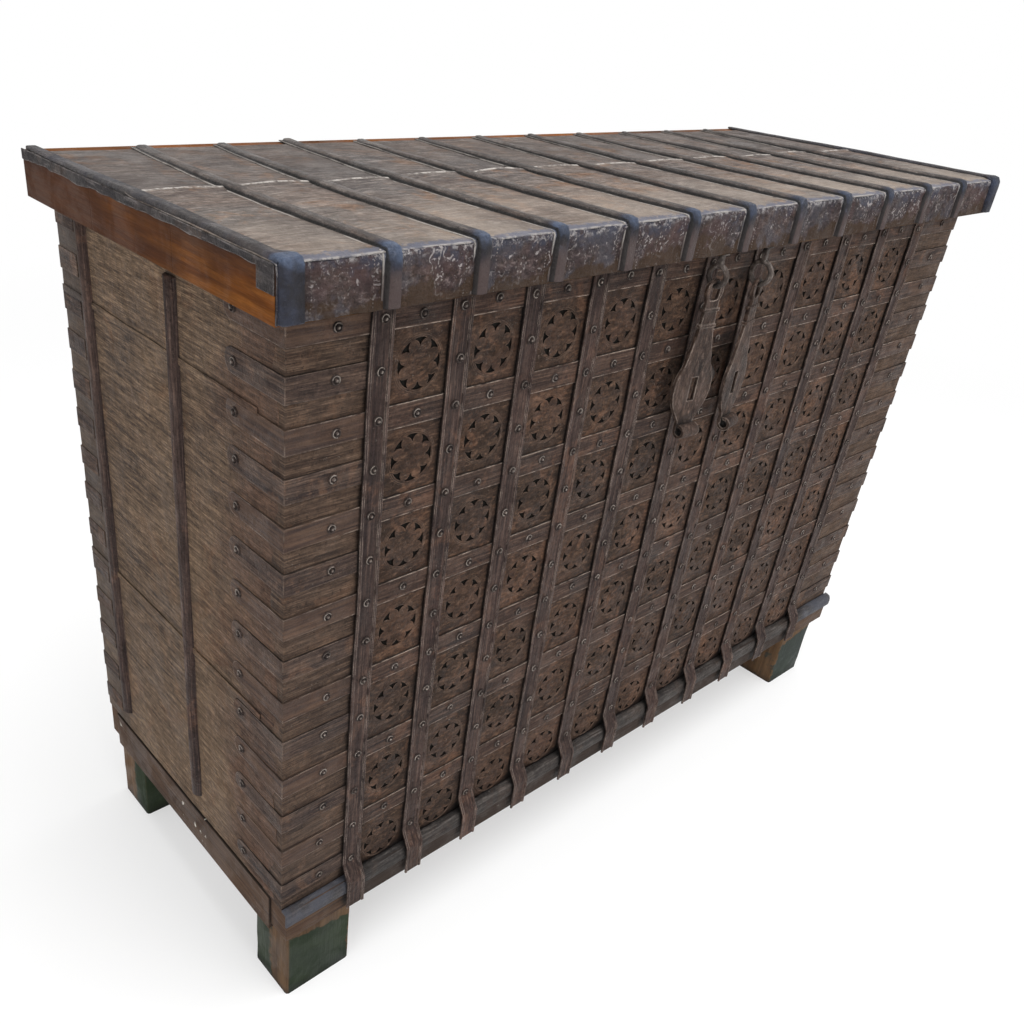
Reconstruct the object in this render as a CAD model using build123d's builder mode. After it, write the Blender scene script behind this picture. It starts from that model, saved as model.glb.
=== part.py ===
from build123d import *
import math
import os

os.makedirs("parts", exist_ok=True)

# A damchiya: an iron-clad wooden dowry chest on four short legs.  A board body is covered at the
# front by pierced sheets held under straps and bands, its sides by plain sheets, and its
# one-piece lid by ribbed sheets.  Two forged hasps hang from eyes under the lid's front edge.
# Millimetres.  +X right, -Y front, +Z up.  Origin: bottom centre of the closed chest.

# ---- wooden body ----
body_w = 1240.0
body_d = 458.0
overall_h = 950.0
board_t = 24.0
plank_gap = 0.4
leg_w = 97.0
leg_d = 73.0
leg_side_inset = 9.0
leg_front_inset = 1.0
leg_edge_chamfer = 7.0
front_rail_low = 125.0
side_rail_low = 116.0
rail_top = 172.0
front_rail_proud = 10.0
side_rail_proud = 3.0
bearer_w = 40.0
bearer_h = 25.0
floor_board_t = 18.0

# ---- iron skins, from the wood outward ----
sheet_t = 1.2
strap_t = 1.6
band_t = 1.6
bead_h = 1.2
bead_w = 3.5
strap_h = 25.0
band_w = 26.0

# ---- front layout: the columns and the rows widen a little as they were laid ----
columns = 10
rows = 7
first_band_in = 97.0
last_band_in = 131.0
column_growth = 1.4
row_top_in = 66.7
row_bottom_up = 32.0
row_growth = 3.2
top_strap_in = 17.2
plate_gap = 3.8
plate_end_in = 3.0
slot_count = 8
slot_ring_r = 21.4
slot_base = 11.0
slot_side = 9.8

# ---- corners and sides ----
corner_reach = 95.0
corner_sheet_depth = 40.0
strap_end_cut = 7.5
side_seam_ins = (453.7, 103.7)
side_sheet_low = 176.0
side_rib_share = 0.424
side_rib_back_in = 68.0
side_rib_w = 27.0
side_rib_h = 8.0
side_rib_up = 38.0
rear_strap_len = 46.0
rear_strap_wrap = 38.0

# ---- base moulding ----
moulding_low = 147.0
moulding_top = 177.0
moulding_proud = 15.6
moulding_end = 8.0
band_foot_up = 4.0

# ---- lid ----
lid_gap = 0.3
lid_board_t = 47.0
lid_side_over = 30.0
lid_front_over = 30.0
lid_rib_h = 7.8
lid_rib_w = 25.0
lid_ribs_n = 13
lid_rib_growth = 1.45
lid_rib_bend = 6.0
lid_rib_edge = 4.0
lid_seam = 215.0
lid_bare_back = 18.0
lid_strip_drop = 9.0
lid_tab_w = 25.0
lid_tab_drop = 24.0
batten_w = 60.0
batten_t = 20.0

# ---- hasps: local sizes from the hanging bar down ----
hasp_out = 24.0
hasp_t = 5.0
hasp_bar_r = 2.75
hasp_eye_w = 28.0
hasp_hole_w = 17.0
hasp_hole_h = 22.0
hasp_leaf_w = 66.0
hasp_curl_r = 9.0
hasp_curl_in = 5.0
hasp_curl_w = 28.0
hasp_len = 184.0
hasp_slot_w = 12.0
hasp_slot_h = 30.0
hasp_slot_z = -131.0
eye_rod = 5.5
eye_play = 0.25
hasp_left = {"x": -49.0, "turn": -6.0, "ring": 12.0, "drop": 26.0}
hasp_right = {"x": 43.0, "turn": 11.0, "ring": 14.0, "drop": 32.0}

# ---- back hinges ----
hinge_xs = (-400.0, 400.0)
knuckle_sides = 12
hinge_off = 7.5
knuckle_r = 7.0
pin_r = 3.5
pin_play = 0.05
pin_end = 2.0
hinge_w = 64.0
knuckle_gap = 0.3
mid_knuckle_w = 21.4
hinge_leaf_t = 2.5
hinge_strap_w = 44.0
hinge_strap_len = 230.0
leaf_clear = 8.2

# ---- derived positions ----
lid_base = overall_h - lid_rib_h - sheet_t - lid_board_t
lid_wood_top = lid_base + lid_board_t
lid_sheet_top = lid_wood_top + sheet_t
body_top = lid_base - lid_gap
hinge_z = (lid_base + body_top) / 2
half_w = body_w / 2


def turned_reach(spec):
    a = math.radians(abs(spec["turn"]))
    return (hasp_curl_r * 2 - hasp_t / 2) * math.cos(a) + hasp_curl_w / 2 * math.sin(a)


front_reach = hasp_out + max(turned_reach(hasp_left), turned_reach(hasp_right))
hinge_reach = hinge_off + knuckle_r
front_y = (front_reach - body_d - hinge_reach) / 2
back_y = front_y + body_d
mid_y = (front_y + back_y) / 2
plate_y = front_y - sheet_t
strap_y = plate_y - strap_t
band_y = strap_y - band_t
lid_front_y = front_y - lid_front_over
lid_half_w = half_w + lid_side_over
hinge_y = back_y + hinge_off
sheet_x = half_w + sheet_t
strap_x = sheet_x + strap_t


def growing(start, end, count, growth):
    # count steps from start to end, each step longer than the last by growth
    run = end - start
    way = math.copysign(1.0, run)
    first = (abs(run) - growth * count * (count - 1) / 2) / count
    return [start + way * (first * i + growth * i * (i - 1) / 2) for i in range(count + 1)]


band_xs = growing(-half_w + first_band_in, half_w - last_band_in, columns, column_growth)
column_xs = [(a + b) / 2 for a, b in zip(band_xs, band_xs[1:])]
row_zs = growing(body_top - row_top_in, rail_top + row_bottom_up, rows - 1, row_growth)
plate_h = row_zs[0] - row_zs[1] - plate_gap
between_zs = [(a + b) / 2 for a, b in zip(row_zs, row_zs[1:])]
cross_zs = [body_top - top_strap_in] + between_zs
rib_xs = growing(
    -lid_half_w + lid_rib_w / 2, lid_half_w - lid_rib_w / 2, lid_ribs_n - 1, lid_rib_growth
)

FRONT = Plane.XZ
LEFT_RIGHT = Plane.YZ


def planks(low, high, count):
    # centre and height of each plank in a stack, with a fine gap between neighbours
    step = (high - low) / count
    return [(low + step * (i + 0.5), step - plank_gap) for i in range(count)]


# ================= legs and rails =================

with BuildPart() as post_front_left:
    with BuildSketch(Plane.XY):
        with Locations((-half_w + leg_side_inset, front_y + leg_front_inset)):
            Rectangle(leg_w, leg_d, align=(Align.MIN, Align.MIN))
    extrude(amount=side_rail_low)
    chamfer(
        post_front_left.edges().filter_by(Axis.Z).sort_by(Axis.X)[:2].sort_by(Axis.Y)[0],
        length=leg_edge_chamfer,
    )
    with BuildSketch(Plane.XY.offset(side_rail_low)):
        with Locations((-half_w + leg_side_inset, front_y + leg_front_inset)):
            Rectangle(leg_w, leg_d, align=(Align.MIN, Align.MIN))
        with Locations((-half_w + leg_side_inset, front_y + board_t)):
            Rectangle(
                board_t - leg_side_inset,
                leg_d,
                align=(Align.MIN, Align.MIN),
                mode=Mode.SUBTRACT,
            )
    extrude(amount=front_rail_low - side_rail_low)
    with BuildSketch(Plane.XY.offset(front_rail_low)):
        with Locations((-half_w + board_t, front_y + board_t)):
            Rectangle(
                leg_w + leg_side_inset - board_t,
                leg_d + leg_front_inset - board_t,
                align=(Align.MIN, Align.MIN),
            )
    extrude(amount=body_top - front_rail_low)

with BuildPart() as post_front_right:
    mirror(post_front_left.part, about=Plane.YZ)

with BuildPart() as post_back_left:
    mirror(post_front_left.part, about=Plane.XZ.offset(-mid_y))

with BuildPart() as post_back_right:
    mirror(post_back_left.part, about=Plane.YZ)

with BuildPart() as front_rail:
    with BuildSketch(Plane.XY.offset(front_rail_low)):
        with Locations((0, front_y - front_rail_proud)):
            Rectangle(body_w, board_t + front_rail_proud, align=(Align.CENTER, Align.MIN))
    extrude(amount=rail_top - front_rail_low)

with BuildPart() as back_rail:
    with BuildSketch(Plane.XY.offset(front_rail_low)):
        with Locations((0, back_y)):
            Rectangle(body_w, board_t, align=(Align.CENTER, Align.MAX))
    extrude(amount=rail_top - front_rail_low)

with BuildPart() as side_rail_left:
    with BuildSketch(Plane.XY.offset(side_rail_low)):
        with Locations((-half_w - side_rail_proud, mid_y)):
            Rectangle(
                board_t + side_rail_proud,
                body_d - 2 * board_t,
                align=(Align.MIN, Align.CENTER),
            )
    extrude(amount=rail_top - side_rail_low)

with BuildPart() as side_rail_right:
    mirror(side_rail_left.part, about=Plane.YZ)

# The moulding is one iron bar that laps the rail's face and top, a little longer than the body.
with BuildPart() as base_moulding:
    with BuildSketch(LEFT_RIGHT.offset(-half_w - moulding_end)):
        with BuildLine():
            Polyline(
                (front_y - front_rail_proud, moulding_low),
                (front_y - moulding_proud + 2, moulding_low + 1),
                (front_y - moulding_proud, moulding_low + 6),
                (front_y - moulding_proud, moulding_top - 15),
                (front_y - moulding_proud + 1, moulding_top - 9),
                (front_y - moulding_proud + 4, moulding_top - 3),
                (front_y - moulding_proud + 10, moulding_top - 0.5),
                (strap_y - 0.1, moulding_top),
                (plate_y - 0.1, moulding_top),
                (plate_y - 0.1, rail_top),
                (front_y - front_rail_proud, rail_top),
                close=True,
            )
        make_face()
    extrude(amount=body_w + 2 * moulding_end)

# ================= board case =================

with BuildPart() as front_boards:
    for centre, height in planks(rail_top, body_top, 5):
        with BuildSketch(FRONT.offset(-front_y)):
            with Locations((0, centre)):
                Rectangle(body_w - 2 * board_t, height)
        extrude(amount=-board_t)

with BuildPart() as back_boards:
    for centre, height in planks(rail_top, body_top, 5):
        with BuildSketch(FRONT.offset(-back_y)):
            with Locations((0, centre)):
                Rectangle(body_w - 2 * board_t, height)
        extrude(amount=board_t)

with BuildPart() as side_boards_left:
    for centre, height in planks(rail_top, body_top, 5):
        with BuildSketch(LEFT_RIGHT.offset(-half_w)):
            with Locations((mid_y, centre)):
                Rectangle(body_d, height)
        extrude(amount=board_t)

with BuildPart() as side_boards_right:
    mirror(side_boards_left.part, about=Plane.YZ)

post_in_x = half_w - leg_side_inset - leg_w
post_in_y = leg_front_inset + leg_d
floor_low = front_rail_low + bearer_h

with BuildPart() as floor_bearers:
    with BuildSketch(Plane.XY.offset(floor_low - bearer_h)):
        with Locations((0, mid_y)):
            with GridLocations(2 * (post_in_x - bearer_w) / 4, 0, 5, 1):
                Rectangle(bearer_w, body_d - 2 * board_t)
    extrude(amount=bearer_h)

with BuildPart() as floor_boards:
    with BuildSketch(Plane.XY.offset(floor_low)):
        for centre, depth in planks(front_y + post_in_y, back_y - post_in_y, 3):
            with Locations((0, centre)):
                Rectangle(body_w - 2 * board_t - plank_gap, depth)
        for centre in (
            front_y + (board_t + post_in_y) / 2,
            back_y - (board_t + post_in_y) / 2,
        ):
            with Locations((0, centre)):
                Rectangle(2 * post_in_x - plank_gap, post_in_y - board_t - plank_gap)
    extrude(amount=floor_board_t)

# ================= pierced sheets =================
# One sheet for each row, punched in every column with a ring of eight petals.  The end edges lie
# under the outermost bands, and the lowest sheet is cut off at the rail.


def rosette_sheet(z):
    low = max(z - plate_h / 2, rail_top)
    high = z + plate_h / 2
    with BuildPart() as sheet:
        with BuildSketch(FRONT.offset(-front_y)):
            with Locations(((band_xs[0] + band_xs[-1]) / 2, (low + high) / 2)):
                Rectangle(band_xs[-1] - band_xs[0] - 2 * plate_end_in, high - low)
            with Locations(*[(x, z) for x in column_xs]):
                with PolarLocations(slot_ring_r, slot_count):
                    Triangle(
                        a=slot_base,
                        b=slot_side,
                        c=slot_side,
                        align=(Align.CENTER, Align.CENTER),
                        rotation=90,
                        mode=Mode.SUBTRACT,
                    )
        extrude(amount=sheet_t)
    return sheet.part


rosette_rows = {
    f"rosette_sheet_row_{i + 1}": rosette_sheet(z) for i, z in enumerate(row_zs)
}

# ================= straps and bands on the front =================

with BuildPart() as cross_straps:
    for z in cross_zs:
        with BuildSketch(Plane.XY.offset(z - strap_h / 2)):
            with BuildLine():
                Polyline(
                    (-strap_x, front_y + corner_reach),
                    (-strap_x, strap_y),
                    (strap_x, strap_y),
                    (strap_x, front_y + corner_reach),
                    (sheet_x, front_y + corner_reach),
                    (sheet_x, plate_y),
                    (-sheet_x, plate_y),
                    (-sheet_x, front_y + corner_reach),
                    close=True,
                )
            make_face()
        extrude(amount=strap_h)
    chamfer(cross_straps.edges().filter_by(Axis.X).group_by(Axis.Y)[-1], length=strap_end_cut)


def corner_straps(side, inner_x):
    # short straps at the plate levels, from under the outermost band round to the side
    with BuildPart() as straps:
        for z in row_zs:
            with BuildSketch(Plane.XY.offset(z - strap_h / 2)):
                with BuildLine():
                    Polyline(
                        (inner_x, strap_y),
                        (side * strap_x, strap_y),
                        (side * strap_x, front_y + corner_reach),
                        (side * sheet_x, front_y + corner_reach),
                        (side * sheet_x, plate_y),
                        (inner_x, plate_y),
                        close=True,
                    )
                make_face()
            extrude(amount=strap_h)
        chamfer(straps.edges().filter_by(Axis.X).group_by(Axis.Y)[-1], length=strap_end_cut)
    return straps.part


under_band = band_w / 2 - 8
corner_straps_left = corner_straps(-1, band_xs[0] - under_band)
corner_straps_right = corner_straps(1, band_xs[-1] + under_band)

band_top = body_top - 2
flare_top = moulding_top + 18
flare_low = moulding_top - 5
band_low = front_rail_low + band_foot_up
foot_y = front_y - moulding_proud


def band_outline(outer):
    # closed side view of a band: straight, then kicked out over the base moulding
    return (
        (strap_y, band_top),
        (strap_y, flare_top),
        (foot_y, flare_low),
        (foot_y, band_low),
        (foot_y - outer, band_low),
        (foot_y - outer, flare_low + 1),
        (strap_y - outer, flare_top + 1),
        (strap_y - outer, band_top),
    )


with BuildPart() as vertical_bands:
    for x in band_xs:
        with BuildSketch(LEFT_RIGHT.offset(x - band_w / 2)):
            with BuildLine():
                Polyline(*band_outline(band_t), close=True)
            make_face()
        extrude(amount=band_w)
        for edge_x in (x - band_w / 2, x + band_w / 2 - bead_w):
            with BuildSketch(LEFT_RIGHT.offset(edge_x)):
                with BuildLine():
                    Polyline(*band_outline(band_t + bead_h), close=True)
                make_face()
            extrude(amount=bead_w)

# ================= corner and side sheets =================


def corner_sheet(side, inner_x):
    with BuildPart() as sheet:
        with BuildSketch(Plane.XY.offset(rail_top)):
            with BuildLine():
                Polyline(
                    (inner_x, plate_y),
                    (side * sheet_x, plate_y),
                    (side * sheet_x, front_y + corner_sheet_depth),
                    (side * half_w, front_y + corner_sheet_depth),
                    (side * half_w, front_y),
                    (inner_x, front_y),
                    close=True,
                )
            make_face()
        extrude(amount=band_top - rail_top)
    return sheet.part


corner_sheet_left = corner_sheet(-1, band_xs[0] - 2)
corner_sheet_right = corner_sheet(1, band_xs[-1] + 2)

sheet_edges = [side_sheet_low] + [body_top - seam_in for seam_in in side_seam_ins] + [band_top]
side_rib_ys = (side_rib_share * body_d, body_d - side_rib_back_in)
side_rib_low = rail_top + side_rib_up
rear_strap_y = back_y - rear_strap_len

with BuildPart() as side_sheets_left:
    for low, high in zip(sheet_edges, sheet_edges[1:]):
        with BuildSketch(LEFT_RIGHT.offset(-sheet_x)):
            with Locations((front_y + corner_sheet_depth + plank_gap, low + plank_gap)):
                Rectangle(
                    body_d - corner_sheet_depth - plank_gap,
                    high - low - plank_gap,
                    align=(Align.MIN, Align.MIN),
                )
        extrude(amount=sheet_t)

with BuildPart() as side_sheets_right:
    mirror(side_sheets_left.part, about=Plane.YZ)

with BuildPart() as side_ribs_left:
    for y in side_rib_ys:
        with BuildSketch(Plane.XY.offset(side_rib_low)):
            with BuildLine():
                ThreePointArc(
                    (-sheet_x, front_y + y - side_rib_w / 2),
                    (-sheet_x - side_rib_h, front_y + y),
                    (-sheet_x, front_y + y + side_rib_w / 2),
                )
                Line(
                    (-sheet_x, front_y + y + side_rib_w / 2),
                    (-sheet_x, front_y + y - side_rib_w / 2),
                )
            make_face()
        extrude(amount=band_top - side_rib_low)

with BuildPart() as side_ribs_right:
    mirror(side_ribs_left.part, about=Plane.YZ)

with BuildPart() as rear_straps_left:
    for z in sorted(row_zs + cross_zs):
        with BuildSketch(Plane.XY.offset(z - strap_h / 2)):
            with BuildLine():
                Polyline(
                    (-sheet_x, rear_strap_y),
                    (-strap_x, rear_strap_y),
                    (-strap_x, back_y + strap_t),
                    (-half_w + board_t + rear_strap_wrap, back_y + strap_t),
                    (-half_w + board_t + rear_strap_wrap, back_y),
                    (-sheet_x, back_y),
                    close=True,
                )
            make_face()
        extrude(amount=strap_h)

with BuildPart() as rear_straps_right:
    mirror(rear_straps_left.part, about=Plane.YZ)

# ================= staple between the hasps =================

staple_x = 5.0
staple_in = 158.7
staple_plate_w = 20.0
staple_plate_h = 52.0
staple_plate_t = 2.0
staple_out = 15.0
staple_half = 13.0
staple_bar = 6.0
staple_base = plate_y - staple_plate_t
staple_z = body_top - staple_in

with BuildPart() as hasp_staple:
    with BuildSketch(FRONT.offset(-plate_y)):
        with Locations((staple_x, staple_z)):
            Rectangle(staple_plate_w, staple_plate_h)
    extrude(amount=staple_plate_t)
    chamfer(hasp_staple.edges().filter_by(Axis.Y), length=staple_plate_w / 3)
    with BuildSketch(LEFT_RIGHT.offset(staple_x - staple_bar / 2)):
        with BuildLine():
            Polyline(
                (staple_base, staple_z - staple_half),
                (staple_base - staple_out + 6, staple_z - staple_half),
                (staple_base - staple_out, staple_z - staple_half + 6),
                (staple_base - staple_out, staple_z + staple_half - 6),
                (staple_base - staple_out + 6, staple_z + staple_half),
                (staple_base, staple_z + staple_half),
                (staple_base, staple_z + staple_half - staple_bar),
                (staple_base - staple_out + 9, staple_z + staple_half - staple_bar),
                (staple_base - staple_out + staple_bar, staple_z + staple_half - 9),
                (staple_base - staple_out + staple_bar, staple_z - staple_half + 9),
                (staple_base - staple_out + 9, staple_z - staple_half + staple_bar),
                (staple_base, staple_z - staple_half + staple_bar),
                close=True,
            )
        make_face()
    extrude(amount=staple_bar)

# ================= lid =================

lid_mid_y = (lid_front_y + back_y) / 2
lid_end_gap = plank_gap / 2

with BuildPart() as lid_boards:
    with BuildSketch(Plane.XY.offset(lid_base)):
        for centre, depth in planks(lid_front_y - lid_end_gap, back_y + lid_end_gap, 3):
            with Locations((0, centre)):
                Rectangle(2 * lid_half_w, depth)
    extrude(amount=lid_board_t)

with BuildPart() as lid_battens:
    with BuildSketch(Plane.XY.offset(lid_base - batten_t)):
        with Locations((0, mid_y)):
            with GridLocations(post_in_x - batten_w, 0, 3, 1):
                Rectangle(batten_w, body_d - 2 * board_t - 30)
    extrude(amount=batten_t)

with BuildPart() as lid_fascia:
    with BuildSketch(FRONT.offset(-lid_front_y)):
        with Locations((0, lid_base)):
            Rectangle(2 * lid_half_w, lid_board_t, align=(Align.CENTER, Align.MIN))
    extrude(amount=sheet_t)

lid_sheet_front_y = lid_front_y - sheet_t
seam_y = front_y + lid_seam
sheet_back_y = back_y - lid_bare_back

with BuildPart() as lid_sheet_front:
    with BuildSketch(Plane.XY.offset(lid_wood_top)):
        with Locations((0, lid_sheet_front_y)):
            Rectangle(
                2 * lid_half_w,
                seam_y - lid_sheet_front_y - plank_gap,
                align=(Align.CENTER, Align.MIN),
            )
    extrude(amount=sheet_t)

with BuildPart() as lid_sheet_back:
    with BuildSketch(Plane.XY.offset(lid_wood_top)):
        with Locations((0, seam_y)):
            Rectangle(
                2 * lid_half_w, sheet_back_y - seam_y, align=(Align.CENTER, Align.MIN)
            )
    extrude(amount=sheet_t)

# Ribs run front to back over the sheets and turn down the fascia.
rib_front_y = lid_sheet_front_y - lid_rib_h
rib_low = lid_base + 1.5
short_rib_y = sheet_back_y - 4
long_rib_y = back_y - 2
long_ribs = (0, 3, 12)

with BuildPart() as lid_ribs:
    for i, x in enumerate(rib_xs):
        rib_back_y = long_rib_y if i in long_ribs else short_rib_y
        with BuildSketch(LEFT_RIGHT.offset(x - lid_rib_w / 2)):
            with BuildLine():
                Polyline(
                    (rib_back_y, lid_sheet_top),
                    (rib_back_y, overall_h),
                    (rib_front_y + lid_rib_bend, overall_h),
                    (rib_front_y, overall_h - lid_rib_bend),
                    (rib_front_y, rib_low),
                    (lid_sheet_front_y, rib_low),
                    (lid_sheet_front_y, lid_sheet_top),
                    close=True,
                )
            make_face()
        extrude(amount=lid_rib_w)
    outer_faces = (
        lid_ribs.faces().filter_by_position(Axis.Z, overall_h - 0.1, overall_h + 0.1)
        + lid_ribs.faces().filter_by_position(Axis.Y, rib_front_y - 0.1, rib_front_y + 0.1)
        + lid_ribs.faces().filter_by(lambda f: abs(f.normal_at().Y) > 0.1 and f.normal_at().Z > 0.1)
    )
    chamfer(
        outer_faces.edges().filter_by(lambda e: abs(e.tangent_at(0.5).X) < 0.1),
        length=lid_rib_edge,
    )


def edge_strip(side):
    with BuildPart() as strip:
        for start, end, drop in (
            (front_y - lid_front_over + lid_tab_w, seam_y, lid_strip_drop),
            (seam_y, back_y, lid_strip_drop + 2.5),
        ):
            with BuildSketch(LEFT_RIGHT.offset(side * lid_half_w)):
                with Locations((start, lid_sheet_top)):
                    Rectangle(end - start, drop, align=(Align.MIN, Align.MAX))
            extrude(amount=side * sheet_t)
    return strip.part


lid_edge_strip_left = edge_strip(-1)
lid_edge_strip_right = edge_strip(1)


def corner_tab(side):
    with BuildPart() as tab:
        with BuildSketch(LEFT_RIGHT.offset(side * lid_half_w)):
            with Locations((lid_front_y, lid_sheet_top)):
                Rectangle(lid_tab_w, lid_tab_drop, align=(Align.MIN, Align.MAX))
        extrude(amount=side * sheet_t)
    return tab.part


lid_corner_tab_left = corner_tab(-1)
lid_corner_tab_right = corner_tab(1)

# ================= hasps and their eyes =================
# The eye is a forged ring on a shank driven into the lid; the hasp's bar hangs inside it.

hasp_y = front_y - hasp_out


def ring_centre_z(spec):
    return lid_base - spec["drop"]


def bar_z(spec):
    return ring_centre_z(spec) - spec["ring"] + eye_rod / 2 + hasp_bar_r + eye_play


def hasp_eye(spec):
    centre_z = ring_centre_z(spec)
    shank_low = centre_z + spec["ring"]
    with BuildPart() as eye:
        with BuildSketch(LEFT_RIGHT.offset(spec["x"] - eye_rod / 2)):
            with Locations((hasp_y, centre_z)):
                RegularPolygon(
                    spec["ring"] + eye_rod / 2, 8, major_radius=False, rotation=22.5
                )
                RegularPolygon(
                    spec["ring"] - eye_rod / 2,
                    8,
                    major_radius=False,
                    rotation=22.5,
                    mode=Mode.SUBTRACT,
                )
        extrude(amount=eye_rod)
        with BuildSketch(Plane.XY.offset(shank_low)):
            with Locations((spec["x"], hasp_y)):
                Rectangle(eye_rod, eye_rod)
        extrude(amount=lid_base - shank_low)
        with BuildSketch(Plane.XY.offset(lid_base - sheet_t)):
            with Locations((spec["x"], hasp_y)):
                Rectangle(2 * eye_rod, 2 * eye_rod)
        extrude(amount=sheet_t)
    return eye.part


hasp_eye_left = hasp_eye(hasp_left)
hasp_eye_right = hasp_eye(hasp_right)

collar_zs = (-33.0, -52.0)
collar_h = 4.0
collar_lift = 1.2


def hasp(spec):
    # a forged flat bar: bar-topped eye, collared neck, slotted leaf and a scrolled tip
    a = math.radians(spec["turn"])
    origin = (spec["x"], hasp_y, bar_z(spec))
    face = Plane(
        origin=origin,
        x_dir=(math.cos(a), math.sin(a), 0),
        z_dir=(math.sin(a), -math.cos(a), 0),
    )
    side = Plane(
        origin=origin,
        x_dir=(-math.sin(a), math.cos(a), 0),
        z_dir=(math.cos(a), math.sin(a), 0),
    )
    leaf = hasp_leaf_w / 2
    eye = hasp_eye_w / 2
    curl = hasp_curl_w / 2
    scroll = (-hasp_curl_r + hasp_t / 2, -hasp_len)
    with BuildPart() as piece:
        with BuildSketch(side.offset(-eye)):
            Circle(hasp_bar_r)
        extrude(amount=hasp_eye_w)
        with BuildSketch(face.offset(-hasp_t / 2)):
            with BuildLine():
                right = Polyline(
                    (0, 0), (eye, 0), (eye, -24), (eye - 3.5, -31), (eye - 2, -56),
                    (eye + 3, -78), (leaf - 10, -101),
                )
                ThreePointArc((leaf - 10, -101), (leaf, -132), (leaf - 9, -158))
                Polyline((leaf - 9, -158), (curl, -172), (curl, -hasp_len), (0, -hasp_len))
                mirror(about=Plane.YZ)
            make_face()
            with Locations((0, 0)):
                Rectangle(
                    hasp_hole_w,
                    hasp_hole_h,
                    align=(Align.CENTER, Align.MAX),
                    mode=Mode.SUBTRACT,
                )
            with Locations((0, hasp_slot_z)):
                Rectangle(hasp_slot_w, hasp_slot_h, mode=Mode.SUBTRACT)
        extrude(amount=hasp_t)
        for z in collar_zs:
            with BuildSketch(face.offset(-hasp_t / 2 - collar_lift)):
                with Locations((0, z)):
                    Rectangle(2 * (eye - 1), collar_h)
            extrude(amount=hasp_t + 2 * collar_lift)
        with BuildSketch(side.offset(-curl)):
            with BuildLine():
                CenterArc(scroll, hasp_curl_r, 0, -290)
                CenterArc(scroll, hasp_curl_in, 0, -290)
                Line((scroll[0] + hasp_curl_in, scroll[1]), (scroll[0] + hasp_curl_r, scroll[1]))
                turn_end = math.radians(-290)
                Line(
                    (
                        scroll[0] + hasp_curl_in * math.cos(turn_end),
                        scroll[1] + hasp_curl_in * math.sin(turn_end),
                    ),
                    (
                        scroll[0] + hasp_curl_r * math.cos(turn_end),
                        scroll[1] + hasp_curl_r * math.sin(turn_end),
                    ),
                )
            make_face()
        extrude(amount=hasp_curl_w)
    return piece.part


hasp_left_part = hasp(hasp_left)
hasp_right_part = hasp(hasp_right)

# ================= back hinges =================
# Three-knuckle strap hinges: the long strap and the outer knuckles stay on the body.  The knuckles
# are hammered to flats outside and round within.

outer_knuckle_start = mid_knuckle_w / 2 + knuckle_gap
outer_knuckle_w = hinge_w / 2 - outer_knuckle_start
outer_knuckle_centre = outer_knuckle_start + outer_knuckle_w / 2


with BuildPart() as hinge_straps:
    for hx in hinge_xs:
        with BuildSketch(FRONT.offset(-back_y)):
            with Locations((hx, hinge_z - leaf_clear)):
                Rectangle(hinge_w, 32, align=(Align.CENTER, Align.MAX))
            with Locations((hx, hinge_z - leaf_clear - 30)):
                Rectangle(
                    hinge_strap_w, hinge_strap_len, align=(Align.CENTER, Align.MAX)
                )
            for sx in (-outer_knuckle_centre, outer_knuckle_centre):
                with Locations((hx + sx, hinge_z)):
                    Rectangle(outer_knuckle_w, leaf_clear + 2, align=(Align.CENTER, Align.MAX))
        extrude(amount=-hinge_leaf_t)
        for sx in (-outer_knuckle_centre, outer_knuckle_centre):
            with BuildSketch(LEFT_RIGHT.offset(hx + sx - outer_knuckle_w / 2)):
                with Locations((hinge_y, hinge_z)):
                    RegularPolygon(knuckle_r, knuckle_sides)
            extrude(amount=outer_knuckle_w)
        with BuildSketch(LEFT_RIGHT.offset(hx - hinge_w / 2)):
            with Locations((hinge_y, hinge_z)):
                Circle(pin_r + pin_play)
        extrude(amount=hinge_w, mode=Mode.SUBTRACT)

with BuildPart() as hinge_leaves:
    for hx in hinge_xs:
        with BuildSketch(FRONT.offset(-back_y)):
            with Locations((hx, hinge_z + leaf_clear)):
                Rectangle(hinge_w, 30, align=(Align.CENTER, Align.MIN))
            with Locations((hx, hinge_z)):
                Rectangle(mid_knuckle_w, leaf_clear + 2, align=(Align.CENTER, Align.MIN))
        extrude(amount=-hinge_leaf_t)
        with BuildSketch(LEFT_RIGHT.offset(hx - mid_knuckle_w / 2)):
            with Locations((hinge_y, hinge_z)):
                RegularPolygon(knuckle_r, knuckle_sides)
        extrude(amount=mid_knuckle_w)
        with BuildSketch(LEFT_RIGHT.offset(hx - hinge_w / 2)):
            with Locations((hinge_y, hinge_z)):
                Circle(pin_r + pin_play)
        extrude(amount=hinge_w, mode=Mode.SUBTRACT)

with BuildPart() as hinge_pins:
    for hx in hinge_xs:
        with BuildSketch(LEFT_RIGHT.offset(hx - hinge_w / 2 - pin_end)):
            with Locations((hinge_y, hinge_z)):
                Circle(pin_r)
        extrude(amount=hinge_w + 2 * pin_end)

# ================= export =================

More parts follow.
